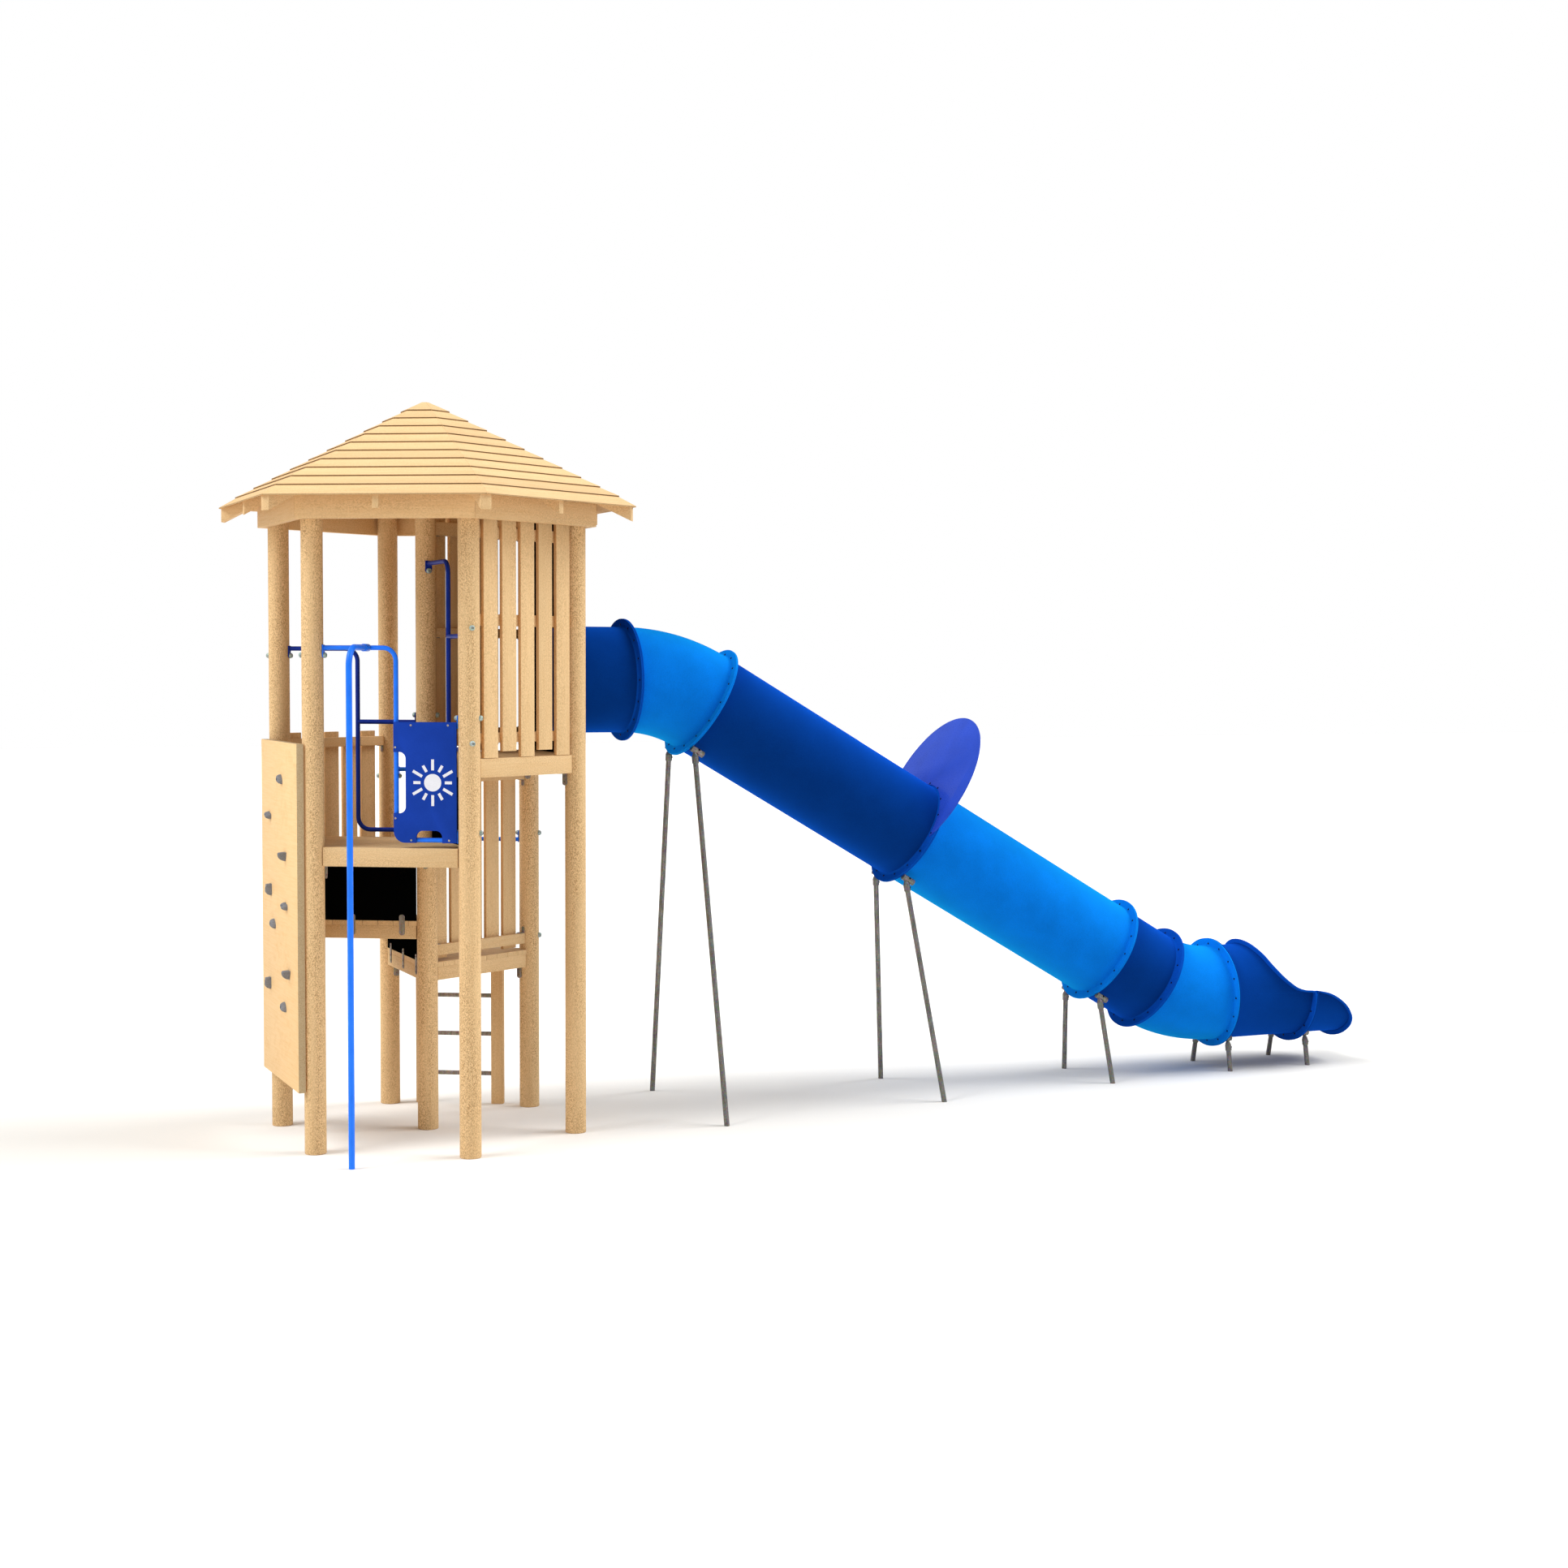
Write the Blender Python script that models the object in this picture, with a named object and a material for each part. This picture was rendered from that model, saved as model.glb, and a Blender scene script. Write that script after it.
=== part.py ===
"""Hexagonal wooden playground tower with a tube slide.

Metres, +Z up. The origin is the foot of the centre post, on the ground. +X runs out along the slide.
"""
import math

import bmesh
import bpy
from mathutils import Matrix, Vector

# Clearance left between pieces that touch.
GAP = 0.0003

# Plan: six posts on a circle round a centre post.
POST_CIRCLE = 1.10
POST_RADIUS = 0.075
POST_SIDES = 24
APOTHEM = POST_CIRCLE * math.cos(math.radians(30))
CORNER_ANGLES = {
    "outer_back": 150,
    "outer_front": 210,
    "front": 270,
    "slide_front": 330,
    "slide_back": 30,
    "back": 90,
}

# Roof: a hexagonal pyramid of lapped boards on twelve rafters and a ring beam. Distances along
# the roof are taken from its centre along a hip; the boards lie over a line from apex to eave.
APEX_Z = 5.293
EAVE_Z = 4.5325
EAVE_CORNER = 1.546
LINE_SLOPE = (APEX_Z - EAVE_Z) / EAVE_CORNER
EAVE_EDGE = 0.009
COURSE_COUNT = 10
COURSE_START = 1.4228
COURSE_PITCH = 0.1379
COURSE_LOW = 0.0135
COURSE_HIGH = 0.0235
APEX_CORNER = 0.028
UNDER_APEX_Z = 5.281
HIP_SLOPE = (UNDER_APEX_Z - EAVE_Z) / EAVE_CORNER
FACE_SLOPE = HIP_SLOPE / math.cos(math.radians(30))
RING_OUTER_APOTHEM = 1.0877
RING_BOTTOM = 4.393
RAFTER_WIDTH = 0.045
HIP_RAFTER_WIDTH = 0.076
RAFTER_DEPTH = 0.1035
RAFTER_SETBACK = 0.03

# Decks: top heights, with edge beams and boards flush with their outer faces.
DECK_TOPS = (1.22, 1.53, 2.14, 2.755)
BEAM_DEPTH = 0.132
BEAM_OUT = 0.035
BEAM_THICK = 0.045
DECK_BOARD = 0.035
BRACKET_DROP = 0.09
BRACKET_WIDTH = 0.04
BRACKET_THICK = 0.006

# Riser panels and the straps that hold them to the deck beams.
RISER_THICK = 0.019
STRAP_PLACES = (0.18, 0.55, 0.92)
STRAP_WIDTH = 0.04
STRAP_THICK = 0.005
STRAP_DOWN = 0.105
STRAP_UP = 0.047

# Slat panels.
SLAT_WIDTH = 0.142
SLAT_PITCH = 0.187
SLAT_COUNT = 5
SLAT_THICK = 0.028
SLAT_FACE = 0.040
RAIL_THICK = 0.038
RAIL_BITE = 0.004
WALL_TOP = 4.53
WALL_FOOT = (0.002, 0.045)
FENCE_FOOT = (0.02, 0.06)
FENCE_TOP = (2.895, 2.83)
PARTITION_SHIFT = -0.030
FENCE_SHIFT = -0.026
WALL_RAILS = ((2.86, 2.93), (3.67, 3.75), (4.27, 4.35))
PARTITION_RAILS = ((2.86, 2.93), (3.60, 3.67), (4.34, 4.44))
LOWER_RAILS = ((1.269, 1.348), (2.53, 2.60))
FENCE_RAILS = ((1.60, 1.67), (2.782, 2.852))

# Slide tube.
TUBE_RADIUS = 0.3965
TUBE_WALL = 0.010
TUBE_SIDES = 36
FLANGE_RADIUS = 0.459
FLANGE_THICK = 0.011
SLOPE = math.radians(30)
BEND_RADIUS = 1.286
BEND_STEPS = 6
ENTRY_AXIS_Z = 3.2925
ENTRY_JOINT_X = 1.511
LONG_MODULE = 2.0625
SHORT_MODULE = 0.522
EXIT_LIFT = 0.0136
TROUGH_JOINT_X = 7.61

# The rim of the open end, as degrees from the top and x: down in an S from a full tube to half
# height at the trough's joint, then on along the lip and under.
RIM_RADIUS = 0.440
RIM_THICK = 0.014
RIM_MITRE = 1.9
EXIT_RIM = (
    (0.0, 7.122),
    (10.0, 7.127),
    (20.5, 7.140),
    (31.0, 7.157),
    (41.5, 7.182),
    (52.6, 7.212),
    (62.0, 7.255),
    (70.2, 7.307),
    (77.0, 7.367),
    (81.8, 7.421),
    (84.7, 7.478),
    (86.2, 7.536),
    (87.1, TROUGH_JOINT_X),
)
LIP_RIM = (
    (87.6, 7.655),
    (89.9, 7.736),
    (93.7, 7.809),
    (99.8, 7.886),
    (107.4, 7.957),
    (116.5, 8.014),
    (124.1, 8.050),
    (135.0, 8.074),
    (147.0, 8.080),
    (163.0, 8.080),
    (180.0, 8.080),
)

# Round shield plate over the middle joint of the slide.
SHIELD_RADIUS = 0.607
SHIELD_RISE = 0.418
SHIELD_THICK = 0.008

# Slide legs, with their feet given as x and distance from the slide's middle.
LEG_RADIUS = 0.021
LEG_FEET = ((2.052, 0.778), (3.984, 0.560), (5.632, 0.384), (6.856, 0.279), (7.644, 0.281))
SLEEVE_RADIUS = 0.026
SLEEVE_START = 0.03
SLEEVE_LENGTH = 0.10
PIVOT_RADIUS = 0.021
PIVOT_MEET = 0.038

# Pivot bars as length, distance from the slide's middle and angle from its underside.
SLOPED_PIVOT = (0.11, 0.465, math.radians(34.4))
LEVEL_PIVOT = (0.06, 0.43, math.radians(32))

# Guard frames and the sliding pole, of round steel tube.
GUARD_RADIUS = 0.0165
GUARD_BAR_RADIUS = 0.0165
GUARD_TOP = 1.375
GUARD_BAR = 0.843
GUARD_BOTTOM = 0.055
GUARD_TURN = 0.588
GUARD_BEND = 0.09
GUARD_PLATE_THICK = 0.006
GUARD_PLATE_WIDTH = 0.050
GUARD_PLATE_REACH = 0.070
GUARD_PLATE_RIM = 0.004
TUBE_FRAME_SIDES = 12
POLE_RADIUS = 0.021
POLE_REACH = 0.467
POLE_PLACE = 0.396
POLE_BEND = 0.13
POLE_SLEEVE_RADIUS = 0.026
POLE_SLEEVE_LENGTH = 0.11

# Infill plate on the pole side guard, with a hand notch on the left and an arch at the bottom.
PLATE_LEFT = 0.5765
PLATE_RIGHT = 1.0185
PLATE_BOTTOM = 2.177
PLATE_TOP = 3.007
PLATE_THICK = 0.019
PLATE_CORNER = 0.08
PLATE_TURN = 0.045
PLATE_NOTCH_DEPTH = 0.085
PLATE_NOTCH = (2.380, 2.801)
PLATE_ARCH = (0.7355, 0.9165)
PLATE_ARCH_RISE = 0.084

# Climbing wall with its moulded grips, given as distance from the outer back post and height.
CLIMB_THICK = 0.050
CLIMB_OVERHANG = 0.045
CLIMB_BOTTOM = 0.435
CLIMB_TOP = 2.853
GRIPS = (
    (0.644, 2.589),
    (0.240, 2.310),
    (0.762, 2.064),
    (0.266, 1.785),
    (0.776, 1.699),
    (0.382, 1.538),
    (0.868, 1.240),
    (0.222, 1.101),
    (0.723, 0.980),
)
GRIP_WIDTH = 0.055
GRIP_HEIGHT = 0.040
GRIP_DEPTH = 0.045

# Ladder on the back.
LADDER_LEFT = 0.195
LADDER_RIGHT = 0.883
STILE_WIDTH = 0.094
STILE_DEPTH = 0.060
RUNG_RADIUS = 0.017
RUNG_HEIGHTS = (0.234, 0.543, 0.841)

PINE = (0.78, 0.55, 0.30)
PINE_LIGHT = (0.88, 0.66, 0.38)
BLACK = (0.01, 0.01, 0.01)
BLUE_DARK = (0.01, 0.07, 0.38)
BLUE_LIGHT = (0.01, 0.24, 0.95)
BLUE_GUARD = (0.01, 0.10, 0.65)
BLUE_PLATE = (0.01, 0.04, 0.28)
SHIELD_BLUE = (0.03, 0.07, 0.55)
STEEL = (0.30, 0.29, 0.27)

BOX_FACES = [(0, 3, 2, 1), (4, 5, 6, 7), (0, 1, 5, 4), (1, 2, 6, 5), (2, 3, 7, 6), (3, 0, 4, 7)]
CLEAR_ENDS = (POST_RADIUS + GAP, POST_CIRCLE - POST_RADIUS - GAP)


def clear_scene():
    for item in list(bpy.data.objects):
        bpy.data.objects.remove(item, do_unlink=True)


def material(name, colour, roughness, metallic=0.0):
    made = bpy.data.materials.new(name)
    made.use_nodes = True
    shader = made.node_tree.nodes["Principled BSDF"]
    shader.inputs["Base Color"].default_value = (*colour, 1.0)
    shader.inputs["Roughness"].default_value = roughness
    shader.inputs["Metallic"].default_value = metallic
    return made


def add_object(name, verts, faces, look=None, smooth_angle=None):
    mesh = bpy.data.meshes.new(name)
    mesh.from_pydata([tuple(v) for v in verts], [], faces)
    shell = bmesh.new()
    shell.from_mesh(mesh)
    bmesh.ops.recalc_face_normals(shell, faces=shell.faces)
    shell.to_mesh(mesh)
    shell.free()
    if smooth_angle:
        mesh.shade_smooth()
        mesh.set_sharp_from_angle(angle=math.radians(smooth_angle))
    if look:
        mesh.materials.append(look)
    made = bpy.data.objects.new(name, mesh)
    bpy.context.scene.collection.objects.link(made)
    return made


def apply_modifiers(item):
    bpy.context.view_layer.update()
    graph = bpy.context.evaluated_depsgraph_get()
    mesh = bpy.data.meshes.new_from_object(item.evaluated_get(graph))
    item.modifiers.clear()
    item.data = mesh


def combine(item, others, operation):
    """Joins or cuts an object with others by exact Booleans, and removes those others."""
    for other in others:
        step = item.modifiers.new(operation.lower(), "BOOLEAN")
        step.operation = operation
        step.solver = "EXACT"
        step.object = other
    apply_modifiers(item)
    for other in others:
        bpy.data.objects.remove(other, do_unlink=True)
    return item


def fuse(name, pieces, look, smooth_angle=None):
    body = combine(pieces[0], pieces[1:], "UNION")
    body.name = name
    body.data.name = name
    body.data.materials.clear()
    body.data.materials.append(look)
    if smooth_angle:
        body.data.shade_smooth()
        body.data.set_sharp_from_angle(angle=math.radians(smooth_angle))
    return body


def corner(key):
    if key == "centre":
        return Vector((0.0, 0.0))
    angle = math.radians(CORNER_ANGLES[key])
    return Vector((POST_CIRCLE * math.cos(angle), POST_CIRCLE * math.sin(angle)))


class Side:
    """One side of the plan, from post to post: along it, out to its right, and up."""

    def __init__(self, start, end):
        self.start = corner(start)
        self.along = (corner(end) - self.start).normalized()
        self.out = Vector((self.along.y, -self.along.x))

    def at(self, along, out, z):
        plan = self.start + self.along * along + self.out * out
        return Vector((plan.x, plan.y, z))

    def board(self, along, out, z):
        """A box from ranges along the side, outward and in height."""
        points = [self.at(a, o, h) for h in z for a, o in
                  ((along[0], out[0]), (along[1], out[0]), (along[1], out[1]), (along[0], out[1]))]
        return add_object("board", points, BOX_FACES)


def prism(name, outline, low, high, look=None, smooth_angle=None):
    """Extrudes a plan outline upward."""
    count = len(outline)
    verts = [(x, y, low) for x, y in outline] + [(x, y, high) for x, y in outline]
    faces = [tuple(reversed(range(count))), tuple(range(count, 2 * count))]
    faces += [(i, (i + 1) % count, count + (i + 1) % count, count + i) for i in range(count)]
    return add_object(name, verts, faces, look, smooth_angle)


def circle(centre, radius, sides, turn=0.0):
    steps = [turn + 2 * math.pi * i / sides for i in range(sides)]
    return [(centre[0] + radius * math.cos(a), centre[1] + radius * math.sin(a)) for a in steps]


def loops_to_faces(rings, sides, closed):
    """Quads between rings of points that follow one another, round again when closed."""
    faces = []
    last = rings if closed else rings - 1
    for r in range(last):
        here = r * sides
        there = (r + 1) % rings * sides
        faces += [(here + i, here + (i + 1) % sides, there + (i + 1) % sides, there + i)
                  for i in range(sides)]
    return faces


def rounded(points, radius, steps):
    """Replaces each inner corner of a path by an arc."""
    path = [points[0]]
    for before, here, after in zip(points, points[1:], points[2:]):
        into = (here - before).normalized()
        away = (after - here).normalized()
        turn = into.angle(away)
        reach = radius * math.tan(turn / 2)
        start = here - into * reach
        middle = start + (away - into * into.dot(away)).normalized() * radius
        axis = into.cross(away).normalized()
        for k in range(steps + 1):
            spin = Matrix.Rotation(turn * k / steps, 3, axis)
            path.append(middle + spin @ (start - middle))
    path.append(points[-1])
    return path


def sweep(name, path, radius, sides, look=None, flat_start=False):
    """A round bar along a path, with capped ends; a flat start is cut level."""
    side_way = None
    verts = []
    for k, point in enumerate(path):
        before = path[max(k - 1, 0)]
        after = path[min(k + 1, len(path) - 1)]
        tangent = (after - before).normalized()
        if side_way is None:
            side_way = tangent.orthogonal().normalized()
        side_way = (side_way - tangent * side_way.dot(tangent)).normalized()
        other_way = tangent.cross(side_way)
        for i in range(sides):
            a = 2 * math.pi * i / sides
            spot = point + (side_way * math.cos(a) + other_way * math.sin(a)) * radius
            if k == 0 and flat_start:
                spot = spot + tangent * ((point.z - spot.z) / tangent.z)
            verts.append(spot)
    faces = loops_to_faces(len(path), sides, False)
    faces.append(tuple(range(sides)))
    faces.append(tuple(range((len(path) - 1) * sides, len(path) * sides)))
    return add_object(name, verts, faces, look, 40)


def roof_under(radius, slope):
    """Height of the boards' underside at a distance from the centre."""
    return UNDER_APEX_Z - slope * radius


def rafter_width(hip):
    return HIP_RAFTER_WIDTH if hip else RAFTER_WIDTH


def hub_reach(hip):
    """Distance along a rafter at which its edge meets its neighbour's."""
    own = rafter_width(hip) / 2
    other = rafter_width(not hip) / 2
    between = math.radians(30)
    return (other + own * math.cos(between)) / math.sin(between)


def rafter_reach(hip):
    reach = EAVE_CORNER if hip else EAVE_CORNER * math.cos(math.radians(30))
    return reach - RAFTER_SETBACK


def rafter_top(radius, hip):
    """Height of a rafter's top; a hip rafter lies lower, so that its edges clear both faces."""
    if hip:
        return roof_under(radius, HIP_SLOPE) - FACE_SLOPE * HIP_RAFTER_WIDTH / 4 - GAP
    return roof_under(radius, FACE_SLOPE) - GAP


def rafter_under(radius, hip):
    return rafter_top(radius, hip) - RAFTER_DEPTH


def build_posts(look):
    top = rafter_under(POST_CIRCLE + POST_RADIUS, True) - GAP
    for key in CORNER_ANGLES:
        plan = circle(corner(key), POST_RADIUS, POST_SIDES)
        prism("post_" + key, plan, 0.0, top, look, 40)
    hub_under = rafter_under(hub_reach(False), False) - GAP
    prism("post_centre", circle((0, 0), POST_RADIUS, POST_SIDES), 0.0, hub_under, look, 40)


def build_roof(look):
    """One shell: a sawtooth of lapped courses outside, a plain pyramid inside."""
    angles = [math.radians(30 + 60 * k) for k in range(6)]
    rings = [(EAVE_CORNER, 0.0), (EAVE_CORNER, EAVE_EDGE)]
    for course in range(COURSE_COUNT):
        radius = COURSE_START - course * COURSE_PITCH
        rings += [(radius, COURSE_LOW), (radius, COURSE_HIGH)]
    rings.append((APEX_CORNER, COURSE_LOW))
    verts = [(r * math.cos(a), r * math.sin(a), APEX_Z - LINE_SLOPE * r + over)
             for r, over in rings for a in angles]
    faces = loops_to_faces(len(rings), 6, False)
    last = (len(rings) - 1) * 6
    faces.append(tuple(range(last, last + 6)))
    under_apex = len(verts)
    verts.append((0, 0, UNDER_APEX_Z))
    faces += [((i + 1) % 6, i, under_apex) for i in range(6)]
    add_object("roof", verts, faces, look)


def build_rafters(look):
    """A star of twelve rafters, six on the hips and six on the middles of the faces."""
    outline = []
    tops = []
    for k in range(12):
        angle = math.radians(30 * k)
        hip = k % 2 == 1
        half = rafter_width(hip) / 2
        hub = hub_reach(hip)
        reach = rafter_reach(hip)
        way = Vector((math.cos(angle), math.sin(angle)))
        side = Vector((-way.y, way.x))
        outline += [way * hub - side * half, way * reach - side * half, way * reach + side * half]
        tops += [rafter_top(hub, hip), rafter_top(reach, hip), rafter_top(reach, hip)]
    count = len(outline)
    verts = [(p.x, p.y, t - RAFTER_DEPTH) for p, t in zip(outline, tops)]
    verts += [(p.x, p.y, t) for p, t in zip(outline, tops)]
    faces = [(i, (i + 1) % count, count + (i + 1) % count, count + i) for i in range(count)]
    hub_ring = list(range(0, count, 3))
    for level in (0, count):
        faces.append(tuple(level + i for i in hub_ring))
        faces += [(level + i, level + i + 1, level + i + 2, level + (i + 3) % count) for i in hub_ring]
    add_object("rafters", verts, faces, look)


def build_ring_beam(look):
    inner_apothem = APOTHEM + POST_RADIUS + GAP
    scale = 1 / math.cos(math.radians(30))
    top = min(rafter_under(RING_OUTER_APOTHEM, False), rafter_under(RING_OUTER_APOTHEM * scale, True)) - GAP
    turn = math.radians(30)
    outer = circle((0, 0), RING_OUTER_APOTHEM * scale, 6, turn)
    inner = circle((0, 0), inner_apothem * scale, 6, turn)
    verts = [(x, y, z) for ring, z in
             ((outer, RING_BOTTOM), (outer, top), (inner, top), (inner, RING_BOTTOM)) for x, y in ring]
    add_object("ring_beam", verts, loops_to_faces(4, 6, True), look)


def offset_outline(keys, outs):
    """The plan outline through the named posts, with each side moved outward by its own distance."""
    sides = [Side(a, b) for a, b in zip(keys, keys[1:] + keys[:1])]
    points = []
    for k, here in enumerate(sides):
        before = sides[k - 1]
        cross = before.out.x * here.out.y - before.out.y * here.out.x
        x = (outs[k - 1] * here.out.y - outs[k] * before.out.y) / cross
        y = (outs[k] * before.out.x - outs[k - 1] * here.out.x) / cross
        points.append((here.start.x + x, here.start.y + y))
    return points


def build_deck(number, keys, look, fenced_below=()):
    """Boards on edge beams, hollow underneath, notched round the posts, with a steel angle
    under each end of each edge beam that has no fence below it. The posts are named in order,
    turning to the left, from the centre; a deck of four posts has a joist from the centre to
    the opposite post."""
    top = DECK_TOPS[number - 1]
    low = top - BEAM_DEPTH
    deck = prism("deck", offset_outline(keys, [BEAM_OUT] * len(keys)), low, top)
    edge = BEAM_OUT - BEAM_THICK
    joist = -BEAM_THICK / 2
    if len(keys) == 3:
        pockets = [(keys, [edge, edge, edge])]
    else:
        pockets = [(keys[:3], [edge, edge, joist]), (keys[:1] + keys[2:], [joist, edge, edge])]
    cutters = [prism("pocket", offset_outline(part, outs), low - 0.1, top - DECK_BOARD)
               for part, outs in pockets]
    combine(deck, cutters, "DIFFERENCE")
    brackets = []
    middle = BEAM_OUT - BEAM_THICK / 2
    for start, end in zip(keys, keys[1:] + keys[:1]):
        if (start, end) in fenced_below:
            continue
        side = Side(start, end)
        for place in (CLEAR_ENDS[0] + BRACKET_THICK + GAP, CLEAR_ENDS[1] - GAP):
            along = (place - BRACKET_THICK, place)
            out = (middle - BRACKET_WIDTH / 2, middle + BRACKET_WIDTH / 2)
            brackets.append(side.board(along, out, (low - BRACKET_DROP, low + 0.002)))
    combine(deck, brackets, "UNION")
    posts = [prism("notch", circle(corner(key), POST_RADIUS + GAP, POST_SIDES), 0, 4) for key in keys]
    combine(deck, posts, "DIFFERENCE")
    return fuse("deck_%d" % number, [deck], look)


def build_riser(name, start, end, lower, upper, look):
    """A black panel on the lower deck's edge, screwed behind the upper deck's beam."""
    side = Side(start, end)
    low = DECK_TOPS[lower - 1]
    high = DECK_TOPS[upper - 1] - DECK_BOARD
    pieces = [side.board(CLEAR_ENDS, (BEAM_OUT - RISER_THICK, BEAM_OUT), (low + GAP, high - GAP))]
    for place in STRAP_PLACES:
        along = (place - STRAP_WIDTH / 2, place + STRAP_WIDTH / 2)
        out = (BEAM_OUT + GAP, BEAM_OUT + STRAP_THICK)
        pieces.append(side.board(along, out, (low - STRAP_DOWN, low + STRAP_UP)))
        screw = (place - STRAP_WIDTH / 4, place + STRAP_WIDTH / 4)
        pieces.append(side.board(screw, (BEAM_OUT - 0.005, BEAM_OUT + 0.003),
                                 (low + 0.01, low + STRAP_UP - 0.01)))
    return fuse(name, pieces, look)


def build_slats(name, start, end, outside, shift, long_span, short_span, rails, look):
    """Upright slats, alternately long and short, on rails behind them; a shift moves all the
    slats along from the middle."""
    side = Side(start, end)
    way = 1 if outside else -1
    face = sorted((way * SLAT_FACE, way * (SLAT_FACE - SLAT_THICK)))
    back = way * (SLAT_FACE - SLAT_THICK)
    rail_out = sorted((back + way * RAIL_BITE, back - way * RAIL_THICK))
    pieces = [side.board(CLEAR_ENDS, rail_out, rail) for rail in rails]
    for k in range(SLAT_COUNT):
        middle = POST_CIRCLE / 2 + shift + (k - (SLAT_COUNT - 1) / 2) * SLAT_PITCH
        along = (middle - SLAT_WIDTH / 2, middle + SLAT_WIDTH / 2)
        span = long_span if k % 2 == 0 else short_span
        pieces.append(side.board(along, face, span))
    return fuse(name, pieces, look)


def build_walls(look):
    deck_1, deck_2, deck_3, deck_4 = DECK_TOPS
    wall_spans = [(deck_4 + foot, WALL_TOP) for foot in WALL_FOOT]
    build_slats("slat_wall_front", "front", "slide_front", True, 0.0, *wall_spans, WALL_RAILS, look)
    build_slats("slat_partition_upper", "centre", "slide_back", False, PARTITION_SHIFT,
                *wall_spans, PARTITION_RAILS, look)
    under_4 = deck_4 - BEAM_DEPTH - 0.004
    lower_spans = [(deck_1 + foot, under_4) for foot in FENCE_FOOT]
    build_slats("slat_partition_lower", "centre", "slide_back", False, PARTITION_SHIFT,
                *lower_spans, LOWER_RAILS, look)
    fence_spans = [(deck_2 + foot, top) for foot, top in zip(FENCE_FOOT, FENCE_TOP)]
    build_slats("slat_fence_back", "outer_back", "back", False, FENCE_SHIFT, *fence_spans, FENCE_RAILS, look)


def build_entry_panel(look):
    side = Side("slide_front", "slide_back")
    half = RISER_THICK / 2
    panel = side.board(CLEAR_ENDS, (-half, half), (DECK_TOPS[3] + GAP, WALL_TOP))
    hole = sweep("hole", [Vector((0.5, 0, ENTRY_AXIS_Z)), Vector((1.4, 0, ENTRY_AXIS_Z))],
                 TUBE_RADIUS - TUBE_WALL, TUBE_SIDES)
    combine(panel, [hole], "DIFFERENCE")
    return fuse("slide_entry_panel", [panel], look)


def grip(side, along, z):
    """A low lump, wider than tall, with its back sunk into the board."""
    rows = 3
    sides = 8
    face = POST_RADIUS + GAP + CLIMB_THICK
    verts = []
    for row in range(rows):
        rise = math.radians(75) * row / (rows - 1)
        for i in range(sides):
            a = 2 * math.pi * i / sides
            wide = GRIP_WIDTH * math.cos(rise) * math.cos(a)
            tall = GRIP_HEIGHT * math.cos(rise) * math.sin(a)
            out = face + GRIP_DEPTH * math.sin(rise)
            verts.append(side.at(along + wide, out if row else face - 0.01, z + tall))
    faces = loops_to_faces(rows, sides, False)
    faces.append(tuple(range(sides)))
    faces.append(tuple(range((rows - 1) * sides, rows * sides)))
    return add_object("grip", verts, faces)


def build_climbing_wall(look):
    side = Side("outer_back", "outer_front")
    near = POST_RADIUS + GAP
    along = (-CLIMB_OVERHANG, POST_CIRCLE + CLIMB_OVERHANG)
    pieces = [side.board(along, (near, near + CLIMB_THICK), (CLIMB_BOTTOM, CLIMB_TOP))]
    pieces += [grip(side, along, z) for along, z in GRIPS]
    return fuse("climbing_wall", pieces, look)


def guard_bracket(side, place, z, way):
    """A plate on a post, from just past the tube's end to its bolt, which lies up or down of it."""
    half = GUARD_PLATE_WIDTH / 2
    ends = sorted((z - way * (GUARD_RADIUS + GUARD_PLATE_RIM), z + way * GUARD_PLATE_REACH))
    return side.board((place, place + GUARD_PLATE_THICK), (-half, half), tuple(ends))


def build_guard(name, start, end, deck, look):
    """A bent tube that leaves half of the way open, with a bar and brackets on the posts."""
    side = Side(start, end)
    floor = DECK_TOPS[deck - 1]
    near = CLEAR_ENDS[0]
    far = CLEAR_ENDS[1] - GUARD_PLATE_THICK
    top = floor + GUARD_TOP
    bar = floor + GUARD_BAR
    low = floor + GUARD_BOTTOM
    bite = GUARD_PLATE_THICK / 2
    corners = [side.at(near + bite, 0, top), side.at(GUARD_TURN, 0, top),
               side.at(GUARD_TURN, 0, low), side.at(far + bite, 0, low)]
    pieces = [
        sweep("tube", rounded(corners, GUARD_BEND, 5), GUARD_RADIUS, TUBE_FRAME_SIDES),
        sweep("bar", [side.at(GUARD_TURN, 0, bar), side.at(far + bite, 0, bar)],
              GUARD_BAR_RADIUS, TUBE_FRAME_SIDES),
        guard_bracket(side, near, top, -1),
        guard_bracket(side, far, bar, 1),
        guard_bracket(side, far, low, 1),
    ]
    return fuse(name, pieces, look, 40)


def arc(centre, radius, start, end, steps):
    """Points on an arc, from one angle in degrees to another."""
    turns = [math.radians(start + (end - start) * k / steps) for k in range(steps + 1)]
    return [(centre[0] + radius * math.cos(a), centre[1] + radius * math.sin(a)) for a in turns]


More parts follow.
